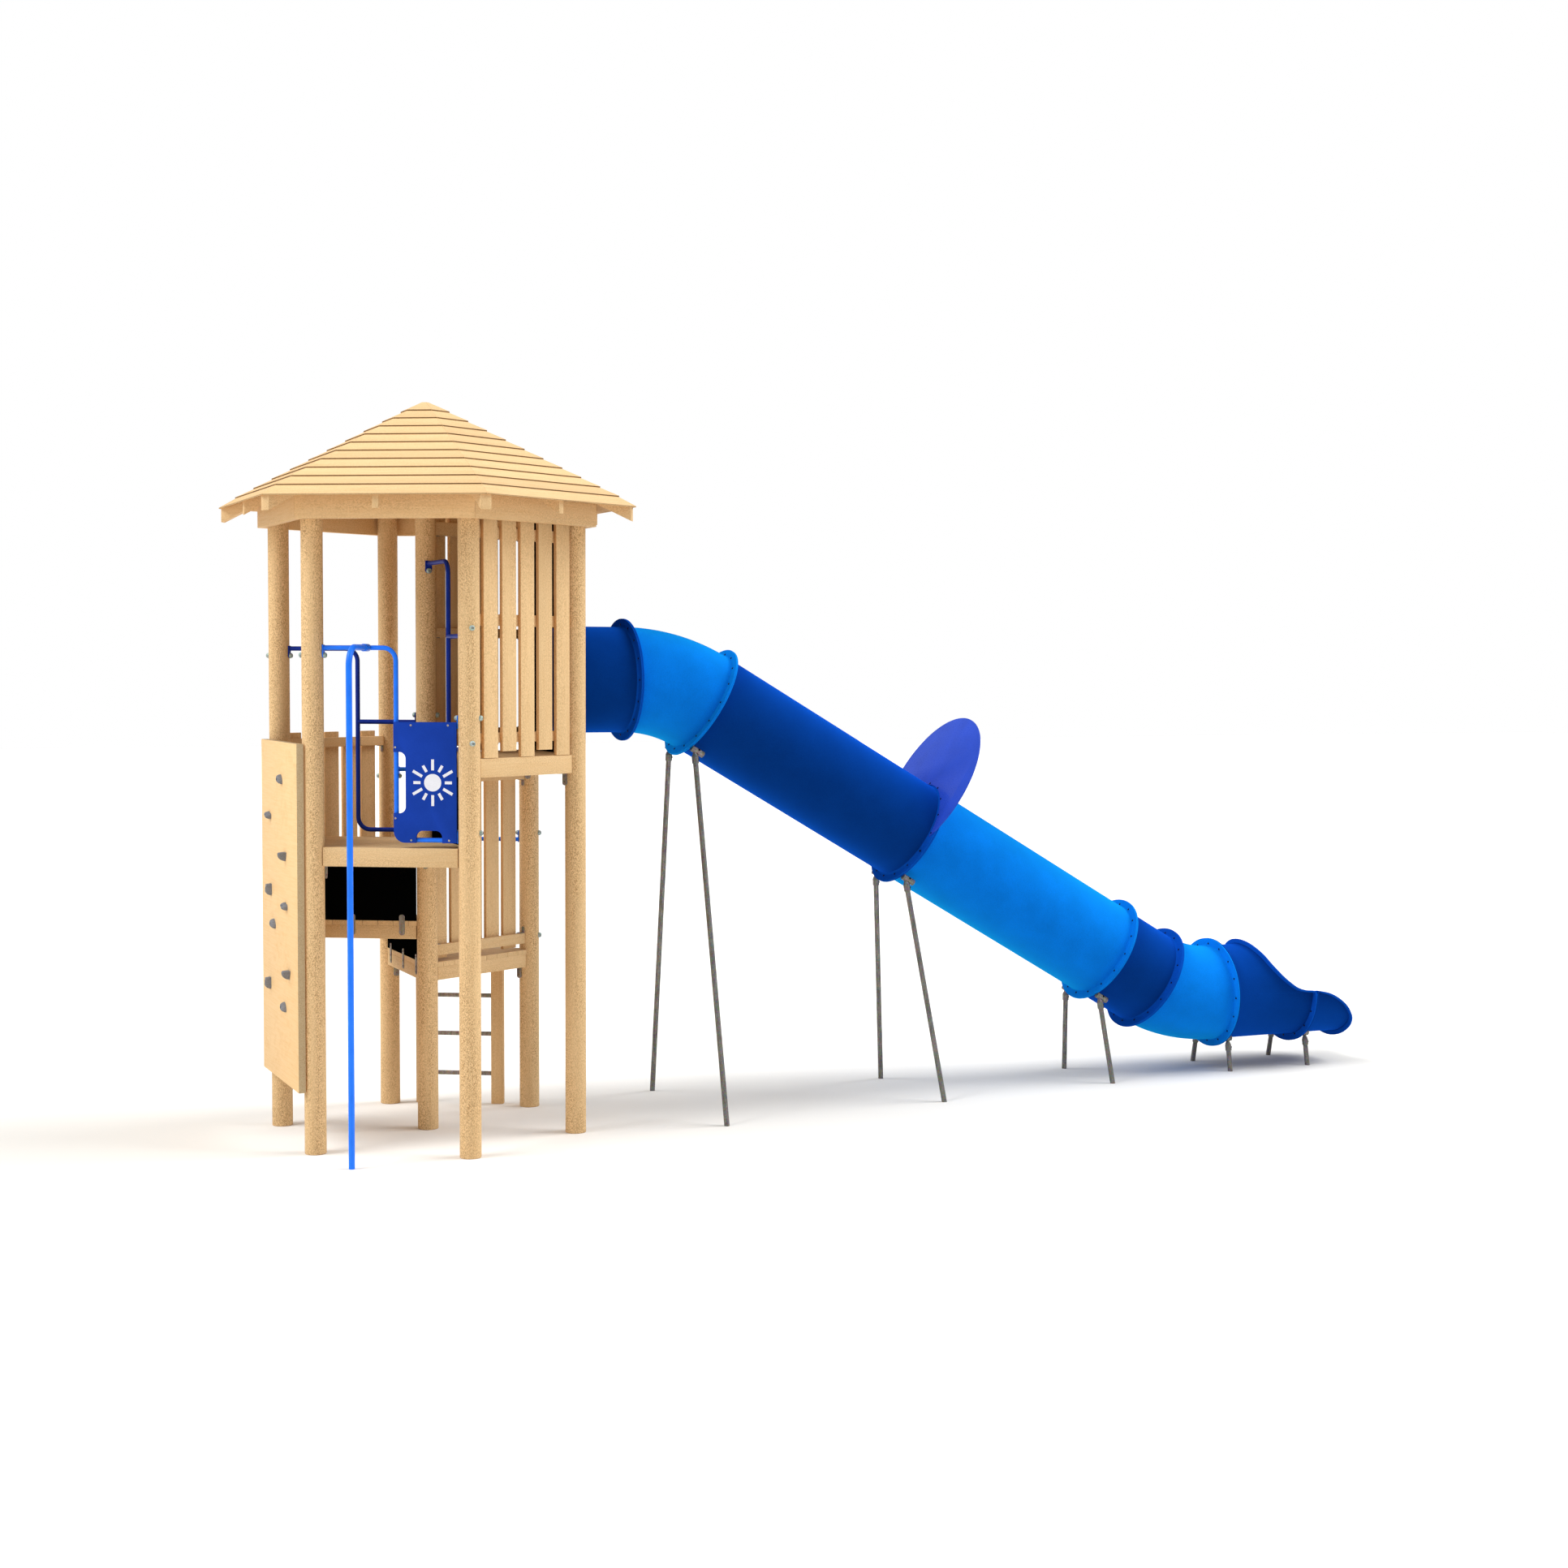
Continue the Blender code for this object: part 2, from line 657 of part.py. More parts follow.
def build_guard_plate(look):
    side = Side("outer_front", "front")
    notch_in = PLATE_LEFT + PLATE_NOTCH_DEPTH - PLATE_TURN
    notch_low, notch_high = PLATE_NOTCH
    arch_left, arch_right = PLATE_ARCH
    arch_high = PLATE_BOTTOM + PLATE_ARCH_RISE - PLATE_TURN
    outline = [(PLATE_LEFT, PLATE_TOP), (PLATE_LEFT, notch_high)]
    outline += arc((notch_in, notch_high - PLATE_TURN), PLATE_TURN, 90, 0, 4)
    outline += arc((notch_in, notch_low + PLATE_TURN), PLATE_TURN, 0, -90, 4)
    outline.append((PLATE_LEFT, notch_low))
    outline += arc((PLATE_LEFT + PLATE_CORNER, PLATE_BOTTOM + PLATE_CORNER), PLATE_CORNER, 180, 270, 4)
    outline.append((arch_left, PLATE_BOTTOM))
    outline += arc((arch_left + PLATE_TURN, arch_high), PLATE_TURN, 180, 90, 4)
    outline += arc((arch_right - PLATE_TURN, arch_high), PLATE_TURN, 90, 0, 4)
    outline += [(arch_right, PLATE_BOTTOM), (PLATE_RIGHT, PLATE_BOTTOM), (PLATE_RIGHT, PLATE_TOP)]
    near = GUARD_RADIUS + GAP
    count = len(outline)
    verts = [side.at(a, out, z) for out in (near, near + PLATE_THICK) for a, z in outline]
    faces = [tuple(range(count)), tuple(reversed(range(count, 2 * count)))]
    faces += [(i, (i + 1) % count, count + (i + 1) % count, count + i) for i in range(count)]
    add_object("guard_plate", verts, faces, look)


def build_pole(look):
    """A pole to slide down, bent over at the top and sleeved onto the guard's top tube."""
    side = Side("outer_front", "front")
    top = DECK_TOPS[2] + GUARD_TOP
    end_out = GUARD_RADIUS + GAP
    corners = [side.at(POLE_PLACE, POLE_REACH, 0), side.at(POLE_PLACE, POLE_REACH, top),
               side.at(POLE_PLACE, end_out, top)]
    sleeve = [side.at(POLE_PLACE, end_out, top), side.at(POLE_PLACE, end_out + POLE_SLEEVE_LENGTH, top)]
    pieces = [sweep("pole", rounded(corners, POLE_BEND, 6), POLE_RADIUS, TUBE_FRAME_SIDES),
              sweep("sleeve", sleeve, POLE_SLEEVE_RADIUS, TUBE_FRAME_SIDES)]
    return fuse("sliding_pole", pieces, look, 40)


def build_ladder(look):
    side = Side("slide_back", "back")
    near = BEAM_OUT + GAP
    middle = near + STILE_DEPTH / 2
    left = (POST_CIRCLE - LADDER_RIGHT, POST_CIRCLE - LADDER_RIGHT + STILE_WIDTH)
    right = (POST_CIRCLE - LADDER_LEFT - STILE_WIDTH, POST_CIRCLE - LADDER_LEFT)
    pieces = [side.board(along, (near, near + STILE_DEPTH), (0, DECK_TOPS[0])) for along in (left, right)]
    for z in RUNG_HEIGHTS:
        ends = [side.at(left[1] - 0.02, middle, z), side.at(right[0] + 0.02, middle, z)]
        pieces.append(sweep("rung", ends, RUNG_RADIUS, 10))
    return fuse("ladder", pieces, look)


def slide_joints():
    """Centre and slope of each joint, worked out down the slide from the first one."""
    joints = [(Vector((ENTRY_JOINT_X, 0, ENTRY_AXIS_Z)), 0.0)]
    bend = Vector((BEND_RADIUS * math.sin(SLOPE), 0, -BEND_RADIUS * (1 - math.cos(SLOPE))))
    down = Vector((math.cos(SLOPE), 0, -math.sin(SLOPE)))
    joints.append((joints[-1][0] + bend, SLOPE))
    for length in (LONG_MODULE, LONG_MODULE, SHORT_MODULE):
        joints.append((joints[-1][0] + down * length, SLOPE))
    joints.append((joints[-1][0] + bend + Vector((0, 0, EXIT_LIFT)), 0.0))
    return joints


def ring_points(centre, slope, radius, start=0.0):
    """A circle square to the slide's axis; the angle runs from the top round the near side."""
    along_up = Vector((math.sin(slope), 0, math.cos(slope)))
    points = []
    for i in range(TUBE_SIDES):
        a = start + 2 * math.pi * i / TUBE_SIDES
        points.append(centre + along_up * (radius * math.cos(a)) + Vector((0, -radius * math.sin(a), 0)))
    return points


def build_module(name, stations, look):
    """A tube with a flange at each end, along stations given as centre and slope."""
    def shifted(station, distance):
        centre, slope = station
        return centre + Vector((math.cos(slope), 0, -math.sin(slope))) * distance, slope

    start = shifted(stations[0], GAP / 2)
    end = shifted(stations[-1], -GAP / 2)
    inner = TUBE_RADIUS - TUBE_WALL
    start_back = shifted(start, FLANGE_THICK)
    end_back = shifted(end, -FLANGE_THICK)
    rings = [(start, inner), (start, FLANGE_RADIUS), (start_back, FLANGE_RADIUS), (start_back, TUBE_RADIUS)]
    rings += [(station, TUBE_RADIUS) for station in stations[1:-1]]
    rings += [(end_back, TUBE_RADIUS), (end_back, FLANGE_RADIUS), (end, FLANGE_RADIUS), (end, inner)]
    rings += [(station, inner) for station in reversed(stations[1:-1])]
    verts = [p for station, radius in rings for p in ring_points(*station, radius)]
    return add_object(name, verts, loops_to_faces(len(rings), TUBE_SIDES, True), look, 40)


def bend_stations(start, slope_from, slope_to, lift=0.0):
    """Centres on the circular bend between two slopes, with a lift that grows to the end."""
    centre, _ = start
    way = 1 if slope_to > slope_from else -1
    hub = centre - Vector((math.sin(slope_from), 0, math.cos(slope_from))) * BEND_RADIUS * way
    stations = []
    for k in range(BEND_STEPS + 1):
        share = k / BEND_STEPS
        slope = slope_from + (slope_to - slope_from) * share
        spoke = Vector((math.sin(slope), 0, math.cos(slope)))
        stations.append((hub + spoke * BEND_RADIUS * way + Vector((0, 0, lift * share)), slope))
    return stations


def rim_columns(rim):
    """Columns of a wall from the points of its rim: the angle, the rim's x and radius, and the x
    and angle of the rim's inner edge, set in square to the rim."""
    columns = []
    for k, (angle, x) in enumerate(rim):
        before = rim[max(k - 1, 0)]
        after = rim[min(k + 1, len(rim) - 1)]
        run = Vector((after[1] - before[1], math.radians(after[0] - before[0]) * RIM_RADIUS)).normalized()
        if angle in (0.0, 180.0):
            run = Vector((0.0, 1.0))
        turn = math.degrees(run.x * RIM_THICK / RIM_RADIUS)
        columns.append((angle, x, RIM_RADIUS, x - run.y * RIM_THICK, angle + turn))
    return columns


def trough_wall(name, front, axis_z, columns, closed, look):
    """A wall from a flange at the front x to a rim, along columns from the top down to the bottom
    on the near side, and the same again on the far side."""
    inner = TUBE_RADIUS - TUBE_WALL
    verts = []
    far = [(360 - angle, x, radius, back_x, 360 - back_angle)
           for angle, x, radius, back_x, back_angle in reversed(columns[:-1])]
    if closed:
        far.pop()
    for angle, x, radius, back_x, back_angle in columns + far:
        loop = [
            (front, angle, inner),
            (front, angle, FLANGE_RADIUS),
            (front + FLANGE_THICK, angle, FLANGE_RADIUS),
            (front + FLANGE_THICK, angle, TUBE_RADIUS),
            (back_x, back_angle, TUBE_RADIUS),
            (back_x, back_angle, radius),
            (x, angle, radius),
            (x, angle, inner),
        ]
        for spot_x, spot_angle, spot_radius in loop:
            a = math.radians(spot_angle)
            verts.append(Vector((spot_x, -spot_radius * math.sin(a), axis_z + spot_radius * math.cos(a))))
    size = 8
    count = len(columns) + len(far)
    faces = loops_to_faces(count, size, closed)
    if not closed:
        faces.append(tuple(range(size)))
        faces.append(tuple(range((count - 1) * size, count * size)))
    return add_object(name, verts, faces, look, 40)


def build_exit(joint, look):
    """The last full tube, whose top is cut away in an S down to half height at the next joint."""
    end = TROUGH_JOINT_X - GAP / 2
    columns = rim_columns(EXIT_RIM)[:-1]
    last_angle = EXIT_RIM[-1][0]
    columns.append((last_angle, end, RIM_RADIUS, end - FLANGE_THICK, last_angle + RIM_MITRE))
    columns += [(angle, end, FLANGE_RADIUS, end - FLANGE_THICK, angle) for angle in range(90, 181, 10)]
    centre, _ = joint
    return trough_wall("slide_exit", centre.x + GAP / 2, centre.z, columns, True, look)


def build_lip(joint, look):
    """The open trough's end: its rim runs on level, then curves down and under."""
    columns = rim_columns(LIP_RIM)
    angle, x = LIP_RIM[0]
    columns[0] = (angle, x, RIM_RADIUS, x - RIM_THICK, angle)
    centre, _ = joint
    return trough_wall("slide_lip", TROUGH_JOINT_X + GAP / 2, centre.z, columns, False, look)


def build_slide(dark, light):
    joints = slide_joints()
    entry_start = APOTHEM + RISER_THICK / 2 + GAP / 2
    entry = [(Vector((entry_start, 0, ENTRY_AXIS_Z)), 0.0), joints[0]]
    build_module("slide_entry", entry, dark)
    build_module("slide_top_bend", bend_stations(joints[0], 0.0, SLOPE), light)
    build_module("slide_straight_upper", joints[1:3], dark)
    build_module("slide_straight_lower", joints[2:4], light)
    build_module("slide_short", joints[3:5], dark)
    build_module("slide_bottom_bend", bend_stations(joints[4], SLOPE, 0.0, EXIT_LIFT), light)
    build_exit(joints[5], dark)
    build_lip(joints[5], dark)


def build_shield(look):
    """A round plate round the tube, against the upper flange of the middle joint."""
    centre, slope = slide_joints()[2]
    down = Vector((math.cos(slope), 0, -math.sin(slope)))
    up = Vector((math.sin(slope), 0, math.cos(slope)))
    hole = TUBE_RADIUS + 0.002
    meet = (hole ** 2 - SHIELD_RADIUS ** 2 + SHIELD_RISE ** 2) / (2 * SHIELD_RISE)
    hole_angle = math.degrees(math.asin(meet / hole))
    rim_angle = math.degrees(math.asin((meet - SHIELD_RISE) / SHIELD_RADIUS))
    outline = arc((0, SHIELD_RISE), SHIELD_RADIUS, rim_angle, 180 - rim_angle, 32)
    outline += arc((0, 0), hole, 180 - hole_angle, hole_angle, 22)[1:-1]
    start = -(FLANGE_THICK + GAP / 2 + GAP + SHIELD_THICK)
    verts = []
    for depth in (start, start + SHIELD_THICK):
        verts += [centre + down * depth + up * v + Vector((0, y, 0)) for y, v in outline]
    count = len(outline)
    faces = [tuple(range(count)), tuple(reversed(range(count, 2 * count)))]
    faces += [(i, (i + 1) % count, count + (i + 1) % count, count + i) for i in range(count)]
    add_object("slide_shield", verts, faces, look)


def build_leg(name, joint, way, foot, look):
    """A leg under a joint: level foot, sleeve, and a pivot bar bolted to the lower flange."""
    centre, slope = joint
    down = Vector((math.cos(slope), 0, -math.sin(slope)))
    up = Vector((math.sin(slope), 0, math.cos(slope)))
    length, circle, angle = SLOPED_PIVOT if slope else LEVEL_PIVOT
    seat = centre - up * (circle * math.cos(angle))
    seat += Vector((0, way * circle * math.sin(angle), 0))
    near = FLANGE_THICK + GAP / 2 + GAP
    pivot = [seat + down * near, seat + down * (near + length)]
    top = seat + down * PIVOT_MEET
    ground = Vector((foot[0], way * foot[1], 0))
    fall = (ground - top).normalized()
    sleeve = [top + fall * SLEEVE_START, top + fall * (SLEEVE_START + SLEEVE_LENGTH)]
    pieces = [sweep("leg", [ground, top], LEG_RADIUS, 12, None, True),
              sweep("sleeve", sleeve, SLEEVE_RADIUS, 12),
              sweep("pivot", pivot, PIVOT_RADIUS, 12)]
    return fuse(name, pieces, look, 40)


def build_legs(look):
    joints = slide_joints()
    exit_centre, _ = joints[5]
    trough_joint = (Vector((TROUGH_JOINT_X, 0, exit_centre.z)), 0.0)
    stations = [joints[1], joints[2], joints[3], joints[5], trough_joint]
    for number, (joint, foot) in enumerate(zip(stations, LEG_FEET), 1):
        build_leg("leg_%d_front" % number, joint, -1, foot, look)
        build_leg("leg_%d_back" % number, joint, 1, foot, look)


def main():
    clear_scene()
    pine = material("pine", PINE, 0.6)
    pine_light = material("pine_light", PINE_LIGHT, 0.6)
    black = material("black_panel", BLACK, 0.5)
    dark = material("slide_dark_blue", BLUE_DARK, 0.35)
    light = material("slide_light_blue", BLUE_LIGHT, 0.35)
    guard = material("guard_blue_paint", BLUE_GUARD, 0.35)
    plate = material("plate_blue", BLUE_PLATE, 0.45)
    shield = material("shield_blue", SHIELD_BLUE, 0.35)
    steel = material("galvanised_steel", STEEL, 0.5, 0.9)

    build_posts(pine)
    build_roof(pine_light)
    build_rafters(pine_light)
    build_ring_beam(pine)
    build_deck(1, ["centre", "slide_back", "back"], pine)
    build_deck(2, ["centre", "back", "outer_back"], pine)
    build_deck(3, ["centre", "outer_back", "outer_front", "front"], pine)
    build_deck(4, ["centre", "front", "slide_front", "slide_back"], pine,
               fenced_below=[("slide_back", "centre")])
    build_riser("riser_1_to_2", "back", "centre", 1, 2, black)
    build_riser("riser_2_to_3", "outer_back", "centre", 2, 3, black)
    build_riser("riser_3_to_4", "front", "centre", 3, 4, black)
    build_walls(pine)
    build_entry_panel(black)
    build_climbing_wall(pine_light)
    build_guard("guard_ladder", "back", "slide_back", 1, guard)
    build_guard("guard_step", "outer_back", "centre", 3, guard)
    build_guard("guard_pole", "outer_front", "front", 3, guard)
    build_guard("guard_upper", "centre", "front", 4, guard)
    build_guard_plate(plate)
    build_pole(guard)
    build_ladder(pine_light)
    build_slide(dark, light)
    build_shield(shield)
    build_legs(steel)


main()
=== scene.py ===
"""Looks of a hexagonal wooden playground tower with a tube slide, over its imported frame.

Metres, +Z up, with the origin at the foot of the centre post and +X out along the slide.
"""

import math
import random
from contextlib import contextmanager

import bmesh
import bpy
from bpy.props import FloatProperty, FloatVectorProperty, IntProperty, PointerProperty
from mathutils import Matrix, Vector


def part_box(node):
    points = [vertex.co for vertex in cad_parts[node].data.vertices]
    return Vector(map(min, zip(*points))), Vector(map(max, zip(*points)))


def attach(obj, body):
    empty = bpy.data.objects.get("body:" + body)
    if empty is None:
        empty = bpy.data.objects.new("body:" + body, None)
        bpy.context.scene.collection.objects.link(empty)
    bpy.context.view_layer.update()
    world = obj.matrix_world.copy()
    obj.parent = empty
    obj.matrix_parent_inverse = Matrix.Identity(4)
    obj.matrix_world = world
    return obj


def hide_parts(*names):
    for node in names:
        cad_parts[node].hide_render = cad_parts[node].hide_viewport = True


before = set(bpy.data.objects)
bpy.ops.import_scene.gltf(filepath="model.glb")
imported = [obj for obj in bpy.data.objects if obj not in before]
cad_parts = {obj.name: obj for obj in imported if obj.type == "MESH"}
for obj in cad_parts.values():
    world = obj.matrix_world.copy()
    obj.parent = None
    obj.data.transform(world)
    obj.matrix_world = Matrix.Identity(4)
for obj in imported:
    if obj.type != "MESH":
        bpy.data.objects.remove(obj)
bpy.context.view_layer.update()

bl_info = {
    "name": "Playground tower with tube slide",
    "version": (1, 0, 0),
    "blender": (4, 5, 0),
    "location": "View3D > Sidebar > Tower",
    "description": "Builds the visible pieces of a wooden playground tower and its tube slide",
    "category": "Object",
}

draw = random.Random(11)

# Plan and clearances, as in the frame.
GAP = 0.0003
MERGE = 0.00001
UP = Vector((0.0, 0.0, 1.0))
COS_30 = math.cos(math.radians(30))
POST_CIRCLE = 1.10
POST_RADIUS = 0.075
CORNERS = {"outer_back": 150, "outer_front": 210, "front": 270, "slide_front": 330, "slide_back": 30,
           "back": 90}
APOTHEM = POST_CIRCLE * COS_30
POST_TO_POST = (POST_RADIUS + GAP, POST_CIRCLE - POST_RADIUS - GAP)

# Roof: the height of its point, outside and inside, the eave, and the courses' corners from the point.
APEX_Z = 5.293
UNDER_APEX_Z = 5.281
EAVE_Z = 4.5325
EAVE_CORNER = 1.546
LINE_SLOPE = (APEX_Z - EAVE_Z) / EAVE_CORNER
HIP_SLOPE = (UNDER_APEX_Z - EAVE_Z) / EAVE_CORNER
COURSE_EDGES = [EAVE_CORNER] + [1.4228 - 0.1379 * k for k in range(10)] + [0.028]
COURSE_LOW = 0.0135
COURSE_HIGH = 0.0235
BOARD_LAP = 0.030
EAVE_BOARD = 0.009
COURSE_BOARD = 0.0095
ROOF_CAP = (0.033, 0.014, 5.2927)
RAFTER_START = 0.05
RAFTER_BACK = 0.03
RAFTER_DEPTH = 0.1035
HIP_RAFTER = 0.076
FACE_RAFTER = 0.045
RING_OUT = 1.0877

# Decks: the posts round each, its top, the side that its boards run along, and whether a full edge beam
# hides the boards' ends.
DECK_KEYS = {
    1: ["centre", "slide_back", "back"],
    2: ["centre", "back", "outer_back"],
    3: ["centre", "outer_back", "outer_front", "front"],
    4: ["centre", "front", "slide_front", "slide_back"],
}
DECK_TOPS = {1: 1.22, 2: 1.53, 3: 2.14, 4: 2.755}
DECK_RUNS = {1: (1, False), 2: (1, False), 3: (2, True), 4: (1, True)}
DECK_BOARD = 0.035
BEAM_DEPTH = 0.132
BEAM_OUT = 0.035
BEAM_THICK = 0.045
JOIST_INSET = 0.13
BRACKET_OUT = -0.033
SEAM = 0.0005

# Walls and panels, with their rails and slats as places across the wall.
WALL_TOP = 4.53
PANEL_THICK = 0.019
RAIL = (0.0118, -0.026)
SLAT = (0.040, 0.012)
SLAT_HALF = 0.071
SLAT_PITCH = 0.187
STRAP_HALF = 0.021
STRAP_THICK = 0.005
STRAP_PLACES = (0.18, 0.55, 0.92)
STRAP_FALL = 0.105
STRAP_RISE = 0.047
STRAP_SCREWS = (-0.085, -0.045, 0.027)

# Climbing wall: its sheet, and each grip's kind, place along and height.
PLY_THICK = 0.050
PLY_OVER = 0.045
PLY_HEIGHTS = (0.435, 2.853)
GRIPS = (("slant", 0.644, 2.589), ("lobed", 0.240, 2.310), ("fin", 0.762, 2.064), ("block", 0.266, 1.785),
         ("lobed", 0.776, 1.699), ("slant", 0.382, 1.538), ("fin", 0.868, 1.240), ("block", 0.222, 1.101),
         ("slant", 0.723, 0.980))

# Guards, plate, pole and ladder.
GUARD_RADIUS = 0.0165
GUARD_BEND = 0.09
GUARD_TOP = 1.375
GUARD_BAR = 0.843
GUARD_BOTTOM = 0.055
GUARD_TURN = 0.588
END_PLATE = 0.006
END_PLATE_HALF = 0.025
END_PLATE_REACH = (-0.0205, 0.070)
CAP_DROP = 0.052
PLATE_ALONG = (0.5765, 1.0185)
PLATE_HEIGHTS = (2.177, 3.007)
PLATE_CORNER = 0.08
NOTCH_DEPTH = 0.085
NOTCH_HEIGHTS = (2.380, 2.801)
ARCH_ALONG = (0.7355, 0.9165)
ARCH_HEIGHT = 0.084
SUN_MIDDLE = (0.852, 2.592)
SUN_RADIUS = 0.060
SUN_RAYS = 12
PLATE_SCREWS = ((0.700, 2.985), (0.960, 2.985), (0.590, 2.833), (0.590, 2.345), (0.700, 2.195),
                (0.965, 2.195))
POLE_PLACE = 0.396
POLE_OUT = 0.467
POLE_RADIUS = 0.021
POLE_BEND = 0.13
SLEEVE_RADIUS = 0.026
SLEEVE_LENGTH = 0.11
STILES = ((0.217, 0.311), (0.811, 0.905))
STILE_DEPTH = 0.060
RUNG_HEIGHTS = (0.234, 0.543, 0.841)
RUNG_RADIUS = 0.017

# Slide.
TUBE_RADIUS = 0.3965
TUBE_BORE = 0.3865
TUBE_SIDES = 108
FLANGE_RADIUS = 0.459
FLANGE_THICK = 0.011
FLANGE_ROUND = 0.003
FILLET = 0.014
BOLT_CIRCLE = 0.415
SLOPE = math.radians(30)
BEND_RADIUS = 1.286
LONG_TUBE = 2.0625
SHORT_TUBE = 0.522
ENTRY_AXIS_Z = 3.2925
ENTRY_JOINT_X = 1.511
EXIT_LIFT = 0.0136
TROUGH_JOINT_X = 7.61

# The exit's and the lip's rims, as an angle from the top and a place along the slide.
RIM_RADIUS = 0.440
RIM_THICK = 0.014
RIM_FILLET = 0.012
EXIT_RIM = ((0, 7.122), (10, 7.127), (20.5, 7.140), (31, 7.157), (41.5, 7.182), (52.6, 7.212), (62, 7.255),
            (70.2, 7.307), (77, 7.367), (81.8, 7.421), (84.7, 7.478), (86.2, 7.536), (87.1, TROUGH_JOINT_X))
LIP_RIM = ((87.6, 7.655), (89.9, 7.736), (93.7, 7.809), (99.8, 7.886), (107.4, 7.957), (116.5, 8.014),
           (124.1, 8.050), (135, 8.074), (147, 8.080), (163, 8.080), (180, 8.080))
RIM_FACES = (8, 9, 10)

# Shield and legs; a pivot has its bar's length, its distance from the slide's axis and its angle from below.
SHIELD_RADIUS = 0.607
SHIELD_RISE = 0.418
SHIELD_THICK = 0.008
BEHIND_FLANGE = FLANGE_THICK + GAP / 2 + GAP
SLOPED_PIVOT = (0.11, 0.465, math.radians(34.4))
LEVEL_PIVOT = (0.06, 0.43, math.radians(32))
PIVOT_MEET = 0.038
PIVOT_RADIUS = 0.0245
LEG_RADIUS = 0.0202
LEG_FEET = ((2.052, 0.778), (3.984, 0.560), (5.632, 0.384), (6.856, 0.279), (7.644, 0.281))

# Turned shapes, as distances along and from their axis.
LEG_SLEEVE = ((0.052, 0.0), (0.052, 0.0245), (0.054, 0.026), (0.1035, 0.026), (0.1055, 0.0245), (0.1055, 0.0))
LEG_NECK = ((0.0505, 0.0), (0.0505, 0.0235), (0.047, 0.0235), (0.041, 0.021), (0.033, 0.0155),
            (0.012, 0.0145), (0.004, 0.012), (0.0, 0.0))
LEG_PIN = ((0.048, 0.0), (0.048, 0.019), (0.054, 0.019), (0.054, 0.0))
CAP_SHAPE = ((-0.001, 0), (-0.001, 1), (0.006, 1), (0.010, 0.96), (0.015, 0.85), (0.0185, 0.70),
             (0.0205, 0.55), (0.0195, 0.46), (0.0155, 0.42), (0.0155, 0))

# Light and camera.
DAYLIGHT = (0.94, 1.0, 1.07)
SKY_SIDES = 0.30
SKY_TOP = 0.68
SUN_HEIGHT = 45
SUN_STRENGTH = 2.5
SUN_SPREAD = 40
FLOOR_SIZE = 160
FLOOR_TONES = ((0.85, 0.79, 0.71, 1), (0.87, 0.81, 0.73, 1))
EYE = (-4.4988734, -16.50666615, 3.39399231)
EYE_WAY = (0.40625503, 0.9123667, -0.05043672)
EYE_ROLL = 0.0033
SENSOR = 36
LENS_PER_WIDTH = 2861.65 / 1932
RIGHT_OF_EYE = Vector((0.914, -0.407, 0))


def length(name, description, default):
    return FloatProperty(name=name, description=description, default=default, unit="LENGTH")


def colour(name, description, default):
    return FloatVectorProperty(name=name, description=description, default=default, subtype="COLOR", size=3)


class TowerSizes(bpy.types.PropertyGroup):
    """Sizes of the fine detail."""
    deck_board_width: length("Deck board width", "Width of one deck board", 0.095)
    deck_board_gap: length("Deck board gap", "Gap between two deck boards", 0.004)
    hip_gap: length("Hip gap", "Gap between roof boards at a hip", 0.001)
    cap_radius: length("Cap radius", "Radius of the domed caps on the posts", 0.0195)
    flange_bolts: IntProperty(name="Flange bolts", description="Bolts round each joint", default=16)


class TowerColours(bpy.types.PropertyGroup):
    """Base colours of the finishes, and the sheens of the slide."""
    pine: colour("Pine", "Posts, beams and slats", (0.74, 0.495, 0.25))
    pale_pine: colour("Pale pine", "Roof boards and plywood", (0.79, 0.515, 0.25))
    # The next two colours are painted shade: the boards' low edges are coloured dark for the shade under each
    # course's lap and under the eave.
    roof_lap_shade: colour("Roof lap shade", "Low edges of the roof boards", (0.16, 0.085, 0.03))
    eave_shade: colour("Eave shade", "Low edges of the lowest course", (0.46, 0.29, 0.135))
    # Painted shade: the slats' narrow sides, which face along the wall, are coloured darker and more orange.
    slat_side_shade: colour("Slat side shade", "Narrow sides of the slats", (0.66, 0.37, 0.155))
    ply_side: colour("Plywood edge", "Edges of the climbing wall", (0.50, 0.37, 0.21))
    light_blue: colour("Light blue", "Light slide sections", (0.002, 0.15, 0.66))
    light_sheen: colour("Light sheen", "Sheen of the light sections", (0.01, 0.50, 1.0))
    dark_blue: colour("Dark blue", "Dark slide sections", (0.001, 0.025, 0.15))
    dark_sheen: colour("Dark sheen", "Sheen of the dark sections", (0.008, 0.145, 0.9))
    shield_blue: colour("Shield blue", "Round shield", (0.022, 0.066, 0.46))
    plate_blue: colour("Plate blue", "Infill plate", (0.012, 0.048, 0.33))
    plate_white: colour("Plate white", "Sun on the infill plate", (0.80, 0.78, 0.80))
    guard_blue: colour("Guard blue", "Paint of the outer guards and the pole", (0.012, 0.18, 0.90))
    # Painted shade: the guards inside the tower get a darker blue than the outer ones.
    shaded_guard_blue: colour("Shaded guard blue", "Paint of the guards inside the tower", (0.01, 0.03, 0.27))
    black: colour("Black", "Riser and entry panels", (0.001, 0.001, 0.001))
    grip_grey: colour("Grip grey", "Moulded climbing grips", (0.24, 0.24, 0.25))
    steel: colour("Steel", "Galvanised slide legs", (0.16, 0.145, 0.125))
    strap_steel: colour("Strap steel", "Straps and angles on the timber", (0.23, 0.18, 0.135))
    bolt_green: colour("Bolt green", "Domed caps of the bolts", (0.30, 0.38, 0.34))
    bolt_core: colour("Bolt core", "Sunk cores of the domed caps", (0.20, 0.22, 0.18))
    rivet_brown: colour("Rivet brown", "Rivets of the angles", (0.17, 0.085, 0.045))
    screw_tan: colour("Screw tan", "Screws of the infill plate", (0.40, 0.33, 0.25))
    screw_dark: colour("Screw dark", "Screws of the slide and the grips", (0.005, 0.006, 0.010))


